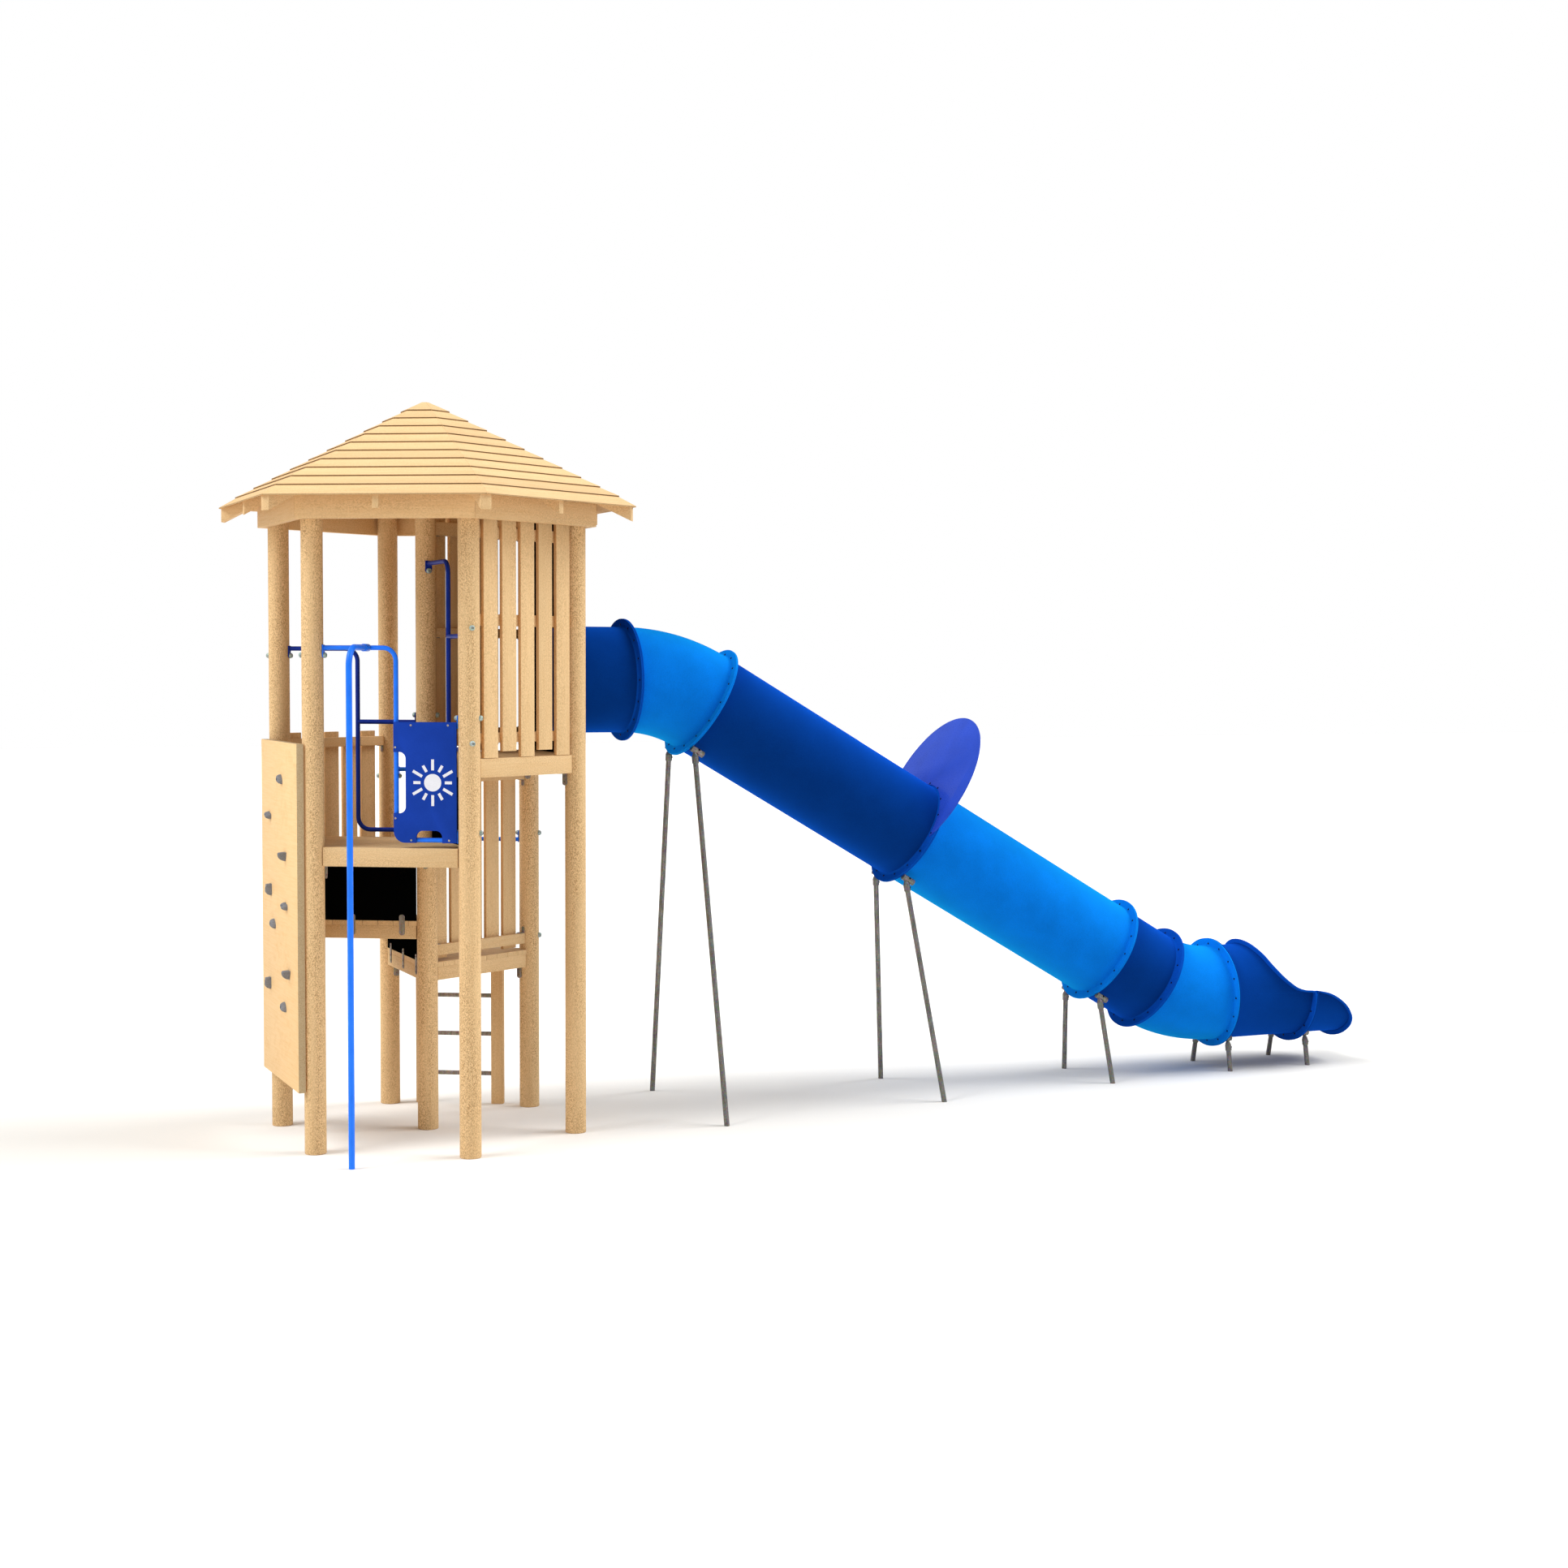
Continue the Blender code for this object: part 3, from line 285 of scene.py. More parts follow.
class Term:
    """A node's output that takes part in sums."""

    def __init__(self, nodes, socket):
        self.nodes = nodes
        self.socket = socket

    def _maths(self, operation, other):
        return self.nodes.node("ShaderNodeMath", {"operation": operation}, {0: self, 1: other})

    def __add__(self, other):
        return self._maths("ADD", other)

    __radd__ = __add__

    def __mul__(self, other):
        return self._maths("MULTIPLY", other)

    __rmul__ = __mul__


class Nodes:
    """A node tree whose nodes are made with their settings and sockets."""

    def __init__(self, tree):
        self.tree = tree

    def node(self, kind, settings=None, sockets=None, output=0):
        made = self.tree.nodes.new(kind)
        for key, value in (settings or {}).items():
            setattr(made, key, value)
        for key, value in (sockets or {}).items():
            if isinstance(value, Term):
                self.tree.links.new(value.socket, made.inputs[key])
            else:
                made.inputs[key].default_value = value
        return Term(self, made.outputs[output]) if made.outputs else None


class Look(Nodes):
    """One finish: a material and the nodes that feed its shader."""

    def __init__(self, name, roughness, gloss=0.5, metallic=0.0):
        self.material = bpy.data.materials.new(name)
        self.material.use_nodes = True
        super().__init__(self.material.node_tree)
        self.shader = self.tree.nodes["Principled BSDF"]
        self.shader.inputs["Roughness"].default_value = roughness
        self.shader.inputs["Metallic"].default_value = metallic
        self.shader.inputs["Specular IOR Level"].default_value = gloss

    def feed(self, socket, term):
        self.tree.links.new(term.socket, self.shader.inputs[socket])

    def place(self):
        return self.node("ShaderNodeTexCoord", output=3)

    def scaled(self, vector, scale):
        return self.node("ShaderNodeMapping", None, {"Vector": vector, "Scale": scale})

    def noise(self, vector, scale, detail=2.0, roughness=0.5):
        return self.node("ShaderNodeTexNoise", None,
                         {"Vector": vector, "Scale": scale, "Detail": detail, "Roughness": roughness})

    def spread(self, term, low, high, bottom=0.0, top=1.0):
        return self.node("ShaderNodeMapRange", {"clamp": True},
                         {"Value": term, "From Min": low, "From Max": high, "To Min": bottom, "To Max": top})

    def mix(self, factor, first, second):
        return self.node("ShaderNodeMix", {"data_type": "RGBA"}, {0: factor, 6: first, 7: second}, output=2)

    def bump(self, height, strength, distance):
        self.feed("Normal", self.node("ShaderNodeBump", None,
                                      {"Strength": strength, "Distance": distance, "Height": height}))


def tint(hue, factor):
    """A colour made lighter or darker, with its alpha."""
    return (*[min(1.0, part * factor) for part in hue], 1.0)


def wood(name, hue, fleck=0.5, streak=0.35, waves=0.0):
    """Planed pine, whose pattern follows each board by its grain attribute."""
    look = Look(name, 0.62, 0.15)
    grain = look.node("ShaderNodeAttribute", {"attribute_name": "grain"}, output=1)

    def marks(along, across, detail, roughness=0.5):
        return look.noise(look.scaled(grain, (along, across, across)), 1.0, detail, roughness)

    tone = marks(0.4, 0.4, 0.0)
    patches = marks(1.1, 11.0, 1.0)
    streaks = marks(4.0, 90.0, 3.0, 0.6)
    flecks = marks(95.0, 150.0, 2.0, 0.7)
    deep = (hue[0] * 0.80, hue[1] * 0.62, hue[2] * 0.42, 1.0)
    base = look.mix(look.spread(tone, 0.3, 0.7), tint(hue, 0.95), tint(hue, 1.06))
    lined = look.mix(look.spread(streaks, 0.42, 0.78) * streak, base, deep)
    if waves:
        bent = marks(1.6, 3.0, 1.0)
        rows = look.node("ShaderNodeTexWave", {"bands_direction": "Y"},
                         {"Vector": look.scaled(grain, (0.8, 1.0, 1.0)), "Scale": 7.0, "Distortion": 9.0,
                          "Detail": 2.0, "Detail Scale": 1.2, "Detail Roughness": 0.6})
        lined = look.mix(look.spread(rows * bent, 0.35, 0.75) * waves, lined, deep)
    amount = look.spread(patches, 0.38, 0.60, 0.45, 1.0) * fleck
    dark = look.mix(look.spread(flecks, 0.46, 0.66) * amount, lined, tint(deep[:3], 0.62))
    look.feed("Base Color", look.mix(look.spread(flecks, 0.48, 0.30) * amount * 0.8, dark, tint(hue, 1.28)))
    look.feed("Roughness", look.spread(streaks, 0.2, 0.8, 0.54, 0.74))
    look.bump(streaks * 0.6 + flecks * 0.4, 0.25, 0.0012)
    return look.material


def plastic(name, hue, roughness=0.42, speckle=0.30, grit=0.10, gloss=0.0, sheen=None):
    """Moulded plastic with a fine pebbled skin and faint clouds of tone; a sheen lights its rounded sides."""
    look = Look(name, roughness, gloss)
    if sheen:
        look.shader.inputs["Sheen Weight"].default_value = 1.0
        look.shader.inputs["Sheen Roughness"].default_value = 0.58
        look.shader.inputs["Sheen Tint"].default_value = (*sheen, 1.0)
    place = look.place()
    clouds = look.noise(place, 5.0)
    pebbles = look.noise(place, 130.0, 2.0, 0.7)
    base = look.mix(look.spread(clouds, 0.3, 0.7), tint(hue, 0.92), tint(hue, 1.08))
    look.feed("Base Color", look.mix(look.spread(pebbles, 0.40, 0.70) * speckle, base, tint(hue, 0.45)))
    look.feed("Roughness", look.spread(pebbles, 0.3, 0.7, roughness - 0.06, roughness + 0.08))
    look.bump(pebbles, grit, 0.0008)
    return look.material


def paint(name, hue, gloss=0.2):
    """Powder coat with a slight orange peel."""
    look = Look(name, 0.32, gloss)
    place = look.place()
    peel = look.noise(place, 340.0, 1.0)
    worn = look.noise(place, 9.0, 3.0)
    look.feed("Base Color", look.mix(look.spread(worn, 0.35, 0.7), tint(hue, 1.05), tint(hue, 0.9)))
    look.feed("Roughness", look.spread(worn, 0.3, 0.7, 0.28, 0.4))
    look.bump(peel, 0.08, 0.0005)
    look.shader.inputs["Coat Weight"].default_value = 0.05
    return look.material


def galvanised(name, hue, metallic=0.75, roughness=0.48):
    """Dull zinc with spangle and darker runs."""
    look = Look(name, roughness, metallic=metallic)
    place = look.place()
    spangle = look.node("ShaderNodeTexVoronoi", None, {"Vector": place, "Scale": 130.0}, output=1)
    runs = look.noise(look.scaled(place, (60.0, 60.0, 6.0)), 1.0, 3.0)
    base = look.mix(look.spread(runs, 0.35, 0.7), tint(hue, 1.35), tint(hue, 0.6))
    look.feed("Base Color", look.mix(0.12, base, spangle))
    look.feed("Roughness", look.spread(runs, 0.3, 0.7, roughness - 0.1, roughness + 0.12))
    look.bump(look.noise(place, 260.0), 0.15, 0.0006)
    return look.material


def looks():
    """All finishes by name, made once."""
    made = {item.name: item for item in bpy.data.materials}
    if "planed_pine" in made:
        return made
    hues = bpy.context.scene.tower_colours
    for maker, name, hue, settings in (
            (wood, "planed_pine", hues.pine, {"fleck": 0.45, "streak": 0.30}),
            (wood, "round_pine", hues.pine, {"fleck": 0.90, "streak": 0.22}),
            (wood, "roof_pine", hues.pale_pine, {"fleck": 0.22}),
            (wood, "roof_edge", hues.roof_lap_shade, {"fleck": 0.3, "streak": 0.4}),
            (wood, "eave_edge", hues.eave_shade, {"streak": 0.3}),
            (wood, "slat_edge", hues.slat_side_shade, {"streak": 0.3}),
            (wood, "plywood", hues.pale_pine, {"fleck": 0.12, "streak": 0.22, "waves": 0.22}),
            (wood, "plywood_edge", hues.ply_side, {"streak": 0.5}),
            (plastic, "light_tube", hues.light_blue, {"sheen": hues.light_sheen}),
            (plastic, "dark_tube", hues.dark_blue, {"sheen": hues.dark_sheen}),
            # Painted highlight: a lighter copy of the dark blue on the trough's rims and on the dark
            # sections' flanges.
            (plastic, "dark_rim", tint(hues.dark_blue, 2.9)[:3], {}),
            (plastic, "shield_sheet", hues.shield_blue,
             {"roughness": 0.30, "speckle": 0.1, "grit": 0.05, "gloss": 0.1}),
            (plastic, "plate_sheet", hues.plate_blue, {"roughness": 0.5, "speckle": 0.15}),
            (plastic, "plate_design", hues.plate_white, {"roughness": 0.5, "speckle": 0.08}),
            (plastic, "black_sheet", hues.black, {"roughness": 0.65, "speckle": 0.1}),
            (plastic, "grip_stone", hues.grip_grey, {"roughness": 0.8, "speckle": 0.6, "grit": 0.5}),
            (paint, "blue_paint", hues.guard_blue, {}),
            (paint, "deep_paint", hues.shaded_guard_blue, {"gloss": 0.05}),
            (galvanised, "zinc", hues.steel, {}),
            (galvanised, "strap_zinc", hues.strap_steel, {"metallic": 0.25, "roughness": 0.55}),
            (galvanised, "bolt_green", hues.bolt_green, {"metallic": 0.2, "roughness": 0.45}),
            (galvanised, "bolt_core", hues.bolt_core, {"metallic": 0.3, "roughness": 0.5}),
            (galvanised, "rivet_brown", hues.rivet_brown, {"metallic": 0.2, "roughness": 0.6}),
            (galvanised, "screw_tan", hues.screw_tan, {"metallic": 0.5, "roughness": 0.45}),
            (paint, "screw_dark", hues.screw_dark, {"gloss": 0.05})):
        made[name] = maker(name, hue, **settings)
    return made


def two_toned(piece, main, other, test):
    """Gives a piece one finish, and another one where a face's normal passes a test."""
    piece.data.materials.append(looks()[main])
    piece.data.materials.append(looks()[other])
    for face in piece.data.polygons:
        if test(face.normal):
            face.material_index = 1


def alone(piece):
    bpy.ops.object.select_all(action="DESELECT")
    piece.select_set(True)
    bpy.context.view_layer.objects.active = piece


def settle(piece):
    """Puts a piece's place, turn and scale in its mesh."""
    alone(piece)
    bpy.ops.object.transform_apply(location=True, rotation=True, scale=True)


@contextmanager
def editing(piece):
    """Edit mode on one piece, with all of its mesh selected."""
    alone(piece)
    bpy.ops.object.mode_set(mode="EDIT")
    bpy.ops.mesh.select_all(action="SELECT")
    yield
    bpy.ops.object.mode_set(mode="OBJECT")


def face_outwards():
    """In edit mode, turns all faces outwards."""
    bpy.ops.mesh.select_all(action="SELECT")
    bpy.ops.mesh.normals_make_consistent(inside=False)


def pick(piece, test):
    """In edit mode, selects the points whose place passes a test."""
    bpy.ops.mesh.select_all(action="DESELECT")
    shell = bmesh.from_edit_mesh(piece.data)
    for spot in shell.verts:
        spot.select = test(spot.co)
    shell.select_flush(True)
    bmesh.update_edit_mesh(piece.data)


def pick_edges(piece, test):
    """In edit mode, selects the edges whose run, as a vector, and middle pass a test."""
    bpy.ops.mesh.select_mode(type="EDGE")
    bpy.ops.mesh.select_all(action="DESELECT")
    shell = bmesh.from_edit_mesh(piece.data)
    for edge in shell.edges:
        first, second = (spot.co for spot in edge.verts)
        if test(second - first, (first + second) / 2):
            edge.select_set(True)
    bmesh.update_edit_mesh(piece.data)


def ease(piece, width, segments=2, angle=40):
    """Eases the sharp edges of a piece."""
    alone(piece)
    step = piece.modifiers.new("ease", "BEVEL")
    step.width = width
    step.segments = segments
    step.limit_method = "ANGLE"
    step.angle_limit = math.radians(angle)
    bpy.ops.object.modifier_apply(modifier=step.name)


def cut_away(piece, cutters, operation="DIFFERENCE"):
    """Cuts or joins a piece with others, which are then removed."""
    for cutter in cutters:
        alone(piece)
        step = piece.modifiers.new("cut", "BOOLEAN")
        step.operation = operation
        step.solver = "EXACT"
        step.object = cutter
        bpy.ops.object.modifier_apply(modifier=step.name)
        bpy.data.objects.remove(cutter, do_unlink=True)


def sliced(piece, planes):
    """Cuts a piece flat beyond each plane, given as a point and the direction that is cut off."""
    with editing(piece):
        for place, way in planes:
            bpy.ops.mesh.select_all(action="SELECT")
            bpy.ops.mesh.bisect(plane_co=place, plane_no=way, use_fill=True, clear_outer=True)


def grain_shift():
    """A place in the wood's pattern, drawn anew for each board."""
    return Vector([draw.uniform(-9, 9) for _ in range(3)])


def lay_grain(piece, lengthways=0):
    """Stores each point's place on its own board, lengthways first, for the wood's pattern."""
    shift = grain_shift()
    store = piece.data.attributes.new("grain", "FLOAT_VECTOR", "POINT")
    for spot, value in zip(piece.data.vertices, store.data):
        value.vector = Vector([spot.co[(lengthways + k) % 3] for k in range(3)]) + shift


def copied(piece, matrix):
    """A copy with its own mesh and its own grain, moved by a matrix."""
    twin = piece.copy()
    twin.data = piece.data.copy()
    bpy.context.scene.collection.objects.link(twin)
    twin.data.transform(matrix)
    store = twin.data.attributes.get("grain")
    if store:
        shift = grain_shift()
        for value in store.data:
            value.vector = Vector(value.vector) + shift
    return twin


def set_at(model, spots):
    """Copies of a fastener at places with directions; the model itself is removed."""
    made = []
    for place, way in spots:
        turn = way.to_track_quat("Z", "Y").to_matrix().to_4x4()
        made.append(copied(model, Matrix.Translation(place) @ turn))
    bpy.data.objects.remove(model, do_unlink=True)
    return made


def six_round(model, first):
    """Six copies of a piece round the tower's axis, from an angle on; the model itself is removed."""
    made = [copied(model, Matrix.Rotation(math.radians(first + 60 * k), 4, "Z")) for k in range(6)]
    bpy.data.objects.remove(model, do_unlink=True)
    return made


def joined(parts):
    alone(parts[0])
    for part in parts:
        part.select_set(True)
    if len(parts) > 1:
        bpy.ops.object.join()
    return bpy.context.object


def present(name, parts, slot, look=None, node=None):
    """Joins parts into one finished piece, which may stand for a node of the frame."""
    piece = joined(parts)
    piece.name = name
    piece.data.name = name
    if look:
        piece.data.materials.clear()
        piece.data.materials.append(looks()[look])
    bpy.ops.object.shade_smooth_by_angle(angle=math.radians(35))
    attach(piece, "root")
    if node:
        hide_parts(node)


def block(size, place, turn=(0.0, 0.0, 0.0)):
    """A cube primitive at its size and place; its scale is applied, its place and turn aren't yet."""
    bpy.ops.object.select_all(action="DESELECT")
    bpy.ops.mesh.primitive_cube_add(size=1, location=place, rotation=turn, scale=size)
    bpy.ops.object.transform_apply(location=False, rotation=False, scale=True)
    return bpy.context.object


def cylinder(radius, depth, place, turn=(0.0, 0.0, 0.0), sides=24):
    """A cylinder primitive, whose place and turn aren't applied yet."""
    bpy.ops.object.select_all(action="DESELECT")
    bpy.ops.mesh.primitive_cylinder_add(vertices=sides, radius=radius, depth=depth, location=place,
                                        rotation=turn)
    return bpy.context.object


def tapered(size, place, test, shrink=1.0, rise=0.0):
    """A block whose points that pass a test are drawn towards the Y axis, and raised."""
    piece = block(size, place)
    settle(piece)
    with editing(piece):
        pick(piece, test)
        bpy.ops.transform.resize(value=(shrink, 1, 1), center_override=(0, 0, 0))
        bpy.ops.transform.translate(value=(0, 0, rise))
    return piece


def rod(start, end, radius, sides=24, edge=0.0):
    """A round bar between two points."""
    run = end - start
    piece = cylinder(radius, run.length, (start + end) / 2, run.to_track_quat("Z", "Y").to_euler(), sides)
    settle(piece)
    if edge:
        ease(piece, edge)
    return piece


def pipe(points, radius, bend, sides=20, steps=8):
    """A bent tube: a ring is extruded along the straight runs and spun round the bends."""
    first = points[1] - points[0]
    bpy.ops.object.select_all(action="DESELECT")
    bpy.ops.mesh.primitive_circle_add(vertices=sides, radius=radius, location=points[0],
                                      rotation=first.to_track_quat("Z", "Y").to_euler())
    piece = bpy.context.object
    settle(piece)
    with editing(piece):
        here = points[0]
        for before, corner, after in zip(points, points[1:], points[2:]):
            into = (corner - before).normalized()
            away = (after - corner).normalized()
            turn = into.angle(away)
            reach = bend * math.tan(turn / 2)
            start = corner - into * reach
            inward = (away - into * into.dot(away)).normalized()
            bpy.ops.mesh.extrude_region_move(TRANSFORM_OT_translate={"value": start - here})
            bpy.ops.mesh.spin(steps=steps, angle=turn, center=start + inward * bend, axis=away.cross(into))
            here = corner + away * reach
        bpy.ops.mesh.extrude_region_move(TRANSFORM_OT_translate={"value": points[-1] - here})
        bpy.ops.mesh.select_all(action="SELECT")
        bpy.ops.mesh.remove_doubles(threshold=MERGE)
        bpy.ops.mesh.fill_holes(sides=0)
        face_outwards()
    ease(piece, 0.0015, 1, 60)
    return piece


def turned(profile, centre, way, sides=32):
    """A body of revolution: a closed profile of distances along and from an axis, spun round it."""
    square = way.orthogonal().normalized()
    mesh = bpy.data.meshes.new("turned")
    count = len(profile)
    mesh.from_pydata([centre + way * a + square * r for a, r in profile],
                     [(k, (k + 1) % count) for k in range(count)], [])
    piece = bpy.data.objects.new("turned", mesh)
    bpy.context.scene.collection.objects.link(piece)
    with editing(piece):
        bpy.ops.mesh.spin(steps=sides, angle=2 * math.pi, center=centre, axis=way)
        bpy.ops.mesh.select_all(action="SELECT")
        bpy.ops.mesh.remove_doubles(threshold=MERGE)
        bpy.ops.mesh.delete_loose(use_verts=True, use_edges=True, use_faces=False)
        face_outwards()
    return piece


def corner(key):
    """The foot of a post's axis."""
    if key == "centre":
        return Vector((0.0, 0.0, 0.0))
    angle = math.radians(CORNERS[key])
    return Vector((POST_CIRCLE * math.cos(angle), POST_CIRCLE * math.sin(angle), 0.0))


class Side:
    """One side of the plan, from post to post: along it, out to its right, and up."""

    def __init__(self, start, end):
        self.start = corner(start)
        self.along = (corner(end) - self.start).normalized()
        self.out = self.along.cross(UP)
        self.turn = (0.0, 0.0, math.atan2(self.along.y, self.along.x))

    def at(self, along, out, z):
        return self.start + self.along * along + self.out * out + UP * z

    def block(self, along, out, z):
        """A block over the given stretches, whose place and turn aren't applied yet."""
        size = (along[1] - along[0], abs(out[1] - out[0]), z[1] - z[0])
        return block(size, self.at(sum(along) / 2, sum(out) / 2, sum(z) / 2), self.turn)

    def plank(self, along, out, z, lengthways=0, edge=0.003):
        """A board with eased edges and its own grain."""
        piece = self.block(along, out, z)
        ease(piece, edge)
        lay_grain(piece, lengthways)
        settle(piece)
        return piece


def strip(side, along, out, z, ends=(-1, 1)):
    """A flat steel strip, upright on a side, with its named ends rounded."""
    spans = (along[1] - along[0], out[1] - out[0])
    thin = spans.index(min(spans))
    piece = side.block(along, out, z)
    with editing(piece):
        pick_edges(piece, lambda run, middle: abs(run[thin]) > 0.001
                   and any(middle.z * end > 0 for end in ends))
        bpy.ops.mesh.bevel(offset=max(spans) * 0.42, segments=6)
    ease(piece, 0.0008, 1)
    settle(piece)
    return piece


def cap_bolt():
    """A domed cap over a bolt, with a sunk core, looking along +Z from the origin."""
    radius = bpy.context.scene.tower_sizes.cap_radius
    cap = turned([(along, out * radius) for along, out in CAP_SHAPE], Vector((0, 0, 0)), UP, 24)
    for look in ("bolt_green", "bolt_core"):
        cap.data.materials.append(looks()[look])
    for face in cap.data.polygons:
        if face.center.xy.length < radius * 0.5 and face.center.z > 0.01:
            face.material_index = 1
    return cap


def hex_screw(radius, height):
    """A flat screw head with a hexagonal recess, looking along +Z from the origin."""
    piece = cylinder(radius, height + 0.001, (0, 0, (height - 0.001) / 2), sides=18)
    settle(piece)
    with editing(piece):
        pick(piece, lambda co: co.z > height - 0.0001)
        bpy.ops.mesh.inset(thickness=radius * 0.18)
        bpy.ops.transform.translate(value=(0, 0, radius * 0.08))
        bpy.ops.mesh.inset(thickness=radius * 0.36)
        bpy.ops.mesh.extrude_region_move(TRANSFORM_OT_translate={"value": (0, 0, -height * 0.7)})
    return piece


def screws(name, radius, height, spots, look="screw_dark"):
    """One piece of all the screws of a kind."""
    present(name, set_at(hex_screw(radius, height), spots), "galvanised_steel", look)


class TOWER_OT_posts(bpy.types.Operator):
    """Round posts with eased ends"""
    bl_idname = "tower.posts"
    bl_label = "Posts"

    def execute(self, context):
        for key in [*CORNERS, "centre"]:
            low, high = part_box("post_" + key)
            middle = corner(key) + UP * ((low.z + high.z) / 2)
            piece = cylinder(POST_RADIUS, high.z - low.z, middle, (0, 0, draw.uniform(0, 6)), 64)
            ease(piece, 0.006, 3)
            lay_grain(piece, 2)
            settle(piece)
            present("round_post_" + key, [piece], "pine", "round_pine", "post_" + key)
        return {"FINISHED"}


def roof_board(number):
    """One board of a course on the face towards +Y, cut to the hips, with painted shade on its low edge."""
    lowest = number == 0
    last = number == len(COURSE_EDGES) - 2
    low_r, high_r = COURSE_EDGES[number], COURSE_EDGES[number + 1]
    low_off = EAVE_BOARD if lowest else COURSE_HIGH
    thick = EAVE_BOARD if lowest else COURSE_BOARD
    lap = 0.0 if last else BOARD_LAP
    end_r = high_r - lap
    end_off = COURSE_LOW + (COURSE_LOW - low_off) / (low_r - high_r) * lap
    low_z = APEX_Z - LINE_SLOPE * low_r + low_off
    end_z = APEX_Z - LINE_SLOPE * end_r + end_off
    gap = bpy.context.scene.tower_sizes.hip_gap
    middle = (low_r + end_r) * COS_30 / 2
    piece = tapered((low_r - gap, (low_r - end_r) * COS_30, thick), (0, middle, low_z - thick / 2),
                    lambda co: co.y < middle, (end_r - gap) / (low_r - gap), end_z - low_z)
    ease(piece, 0.0012, 1)
    # The low edge face gets a darker finish: painted shade under the lap, or under the eave on the lowest
    # course.
    two_toned(piece, "roof_pine", "eave_edge" if lowest else "roof_edge", lambda normal: normal.y > 0.85)
    lay_grain(piece)
    return piece


class TOWER_OT_roof(bpy.types.Operator):
    """Lapped roof boards, course by course on six faces, under a small cap"""
    bl_idname = "tower.roof"
    bl_label = "Roof boards"

    def execute(self, context):
        parts = []
        for number in range(len(COURSE_EDGES) - 1):
            parts += six_round(roof_board(number), 30)
        radius, height, top = ROOF_CAP
        cap = cylinder(radius, height, (0, 0, top - height / 2), sides=6)
        ease(cap, 0.003)
        lay_grain(cap)
        settle(cap)
        cap.data.materials.append(looks()["roof_pine"])
        present("roof_boards", parts + [cap], "pine_light", None, "roof")
        return {"FINISHED"}


def rafter(width, reach, slope, drop):
    """A rafter along +X with plumb ends; its top lies under the boards by a drop."""
    top = UNDER_APEX_Z - slope * reach - drop - GAP
    span = reach - RAFTER_START
    piece = tapered((span, width, RAFTER_DEPTH), ((RAFTER_START + reach) / 2, 0, top - RAFTER_DEPTH / 2),
                    lambda co: co.x < 0.5, rise=slope * span)
    ease(piece, 0.003)
    lay_grain(piece)
    return piece


class TOWER_OT_rafters(bpy.types.Operator):
    """Twelve rafters and the ring of mitred boards round the posts"""
    bl_idname = "tower.rafters"
    bl_label = "Rafters and ring"

    def execute(self, context):
        face_slope = HIP_SLOPE / COS_30
        hip = rafter(HIP_RAFTER, EAVE_CORNER - RAFTER_BACK, HIP_SLOPE, face_slope * HIP_RAFTER / 4)
        parts = six_round(hip, 30)
        parts += six_round(rafter(FACE_RAFTER, EAVE_CORNER * COS_30 - RAFTER_BACK, face_slope, 0.0), 0)
        present("rafter_boards", parts, "pine_light", "planed_pine", "rafters")
        low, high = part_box("ring_beam")
        inner = APOTHEM + POST_RADIUS + GAP
        middle = (inner + RING_OUT) / 2
        piece = tapered((RING_OUT / COS_30 - 0.001, RING_OUT - inner, high.z - low.z),
                        (0, middle, (low.z + high.z) / 2), lambda co: co.y < middle, inner / RING_OUT)
        ease(piece, 0.003)
        lay_grain(piece)
        present("ring_boards", six_round(piece, 30), "pine", "planed_pine", "ring_beam")
        return {"FINISHED"}


def outline_corners(keys, out):
    """Sides through the named posts, and the corners of their outline moved outwards."""
    sides = [Side(a, b) for a, b in zip(keys, keys[1:] + keys[:1])]
    points = []
    for before, here in zip([sides[-1]] + sides[:-1], sides):
        bisector = before.out + here.out
        points.append(here.start + bisector * (out * 2 / bisector.length_squared))
    return sides, points


def deck_boards(number):
    """Deck boards in rows beside one side, cut to the outline and round the posts."""
    sizes = bpy.context.scene.tower_sizes
    run, framed = DECK_RUNS[number]
    edge_out = BEAM_OUT - BEAM_THICK - SEAM if framed else BEAM_OUT - SEAM
    sides, corners_out = outline_corners(DECK_KEYS[number], edge_out)
    guide = sides[run]
    top = DECK_TOPS[number]
    width = sizes.deck_board_width
    pitch = width + sizes.deck_board_gap
    parts = []
    for row in range(int((APOTHEM + 0.15) / pitch) + 1):
        edge = edge_out - row * pitch
        parts.append(guide.plank((-1.4, 2.5), (edge - width, edge), (top - DECK_BOARD, top), 0, 0.0012))
    piece = joined(parts)
    sliced(piece, [(place, side.out) for side, place in zip(sides, corners_out) if side is not guide])
    posts = []
    for foot in map(corner, DECK_KEYS[number]):
        posts.append(rod(foot + UP * (top - 0.2), foot + UP * (top + 0.2), POST_RADIUS + 0.002, 48))
    cut_away(piece, posts)
    return piece


def deck_beams(number):
    """Edge beams from post to post, joists inside them, and the cross joist of a deck with four posts."""
    keys = DECK_KEYS[number]
    sides, _ = outline_corners(keys, BEAM_OUT)
    top = DECK_TOPS[number]
    low = top - BEAM_DEPTH
    under = top - DECK_BOARD - 0.0004
    high = top if DECK_RUNS[number][1] else under
    beam = (BEAM_OUT - BEAM_THICK, BEAM_OUT)
    joist = (beam[0] - BEAM_THICK, beam[0] - SEAM)
    parts = [side.plank(POST_TO_POST, beam, (low, high), 0, 0.0015) for side in sides]
    parts += [side.plank((JOIST_INSET, POST_CIRCLE - JOIST_INSET), joist, (low, under)) for side in sides]
    if len(keys) == 4:
        half = BEAM_THICK / 2
        parts.append(Side(keys[0], keys[2]).plank(POST_TO_POST, (-half, half), (low, under)))
    return parts


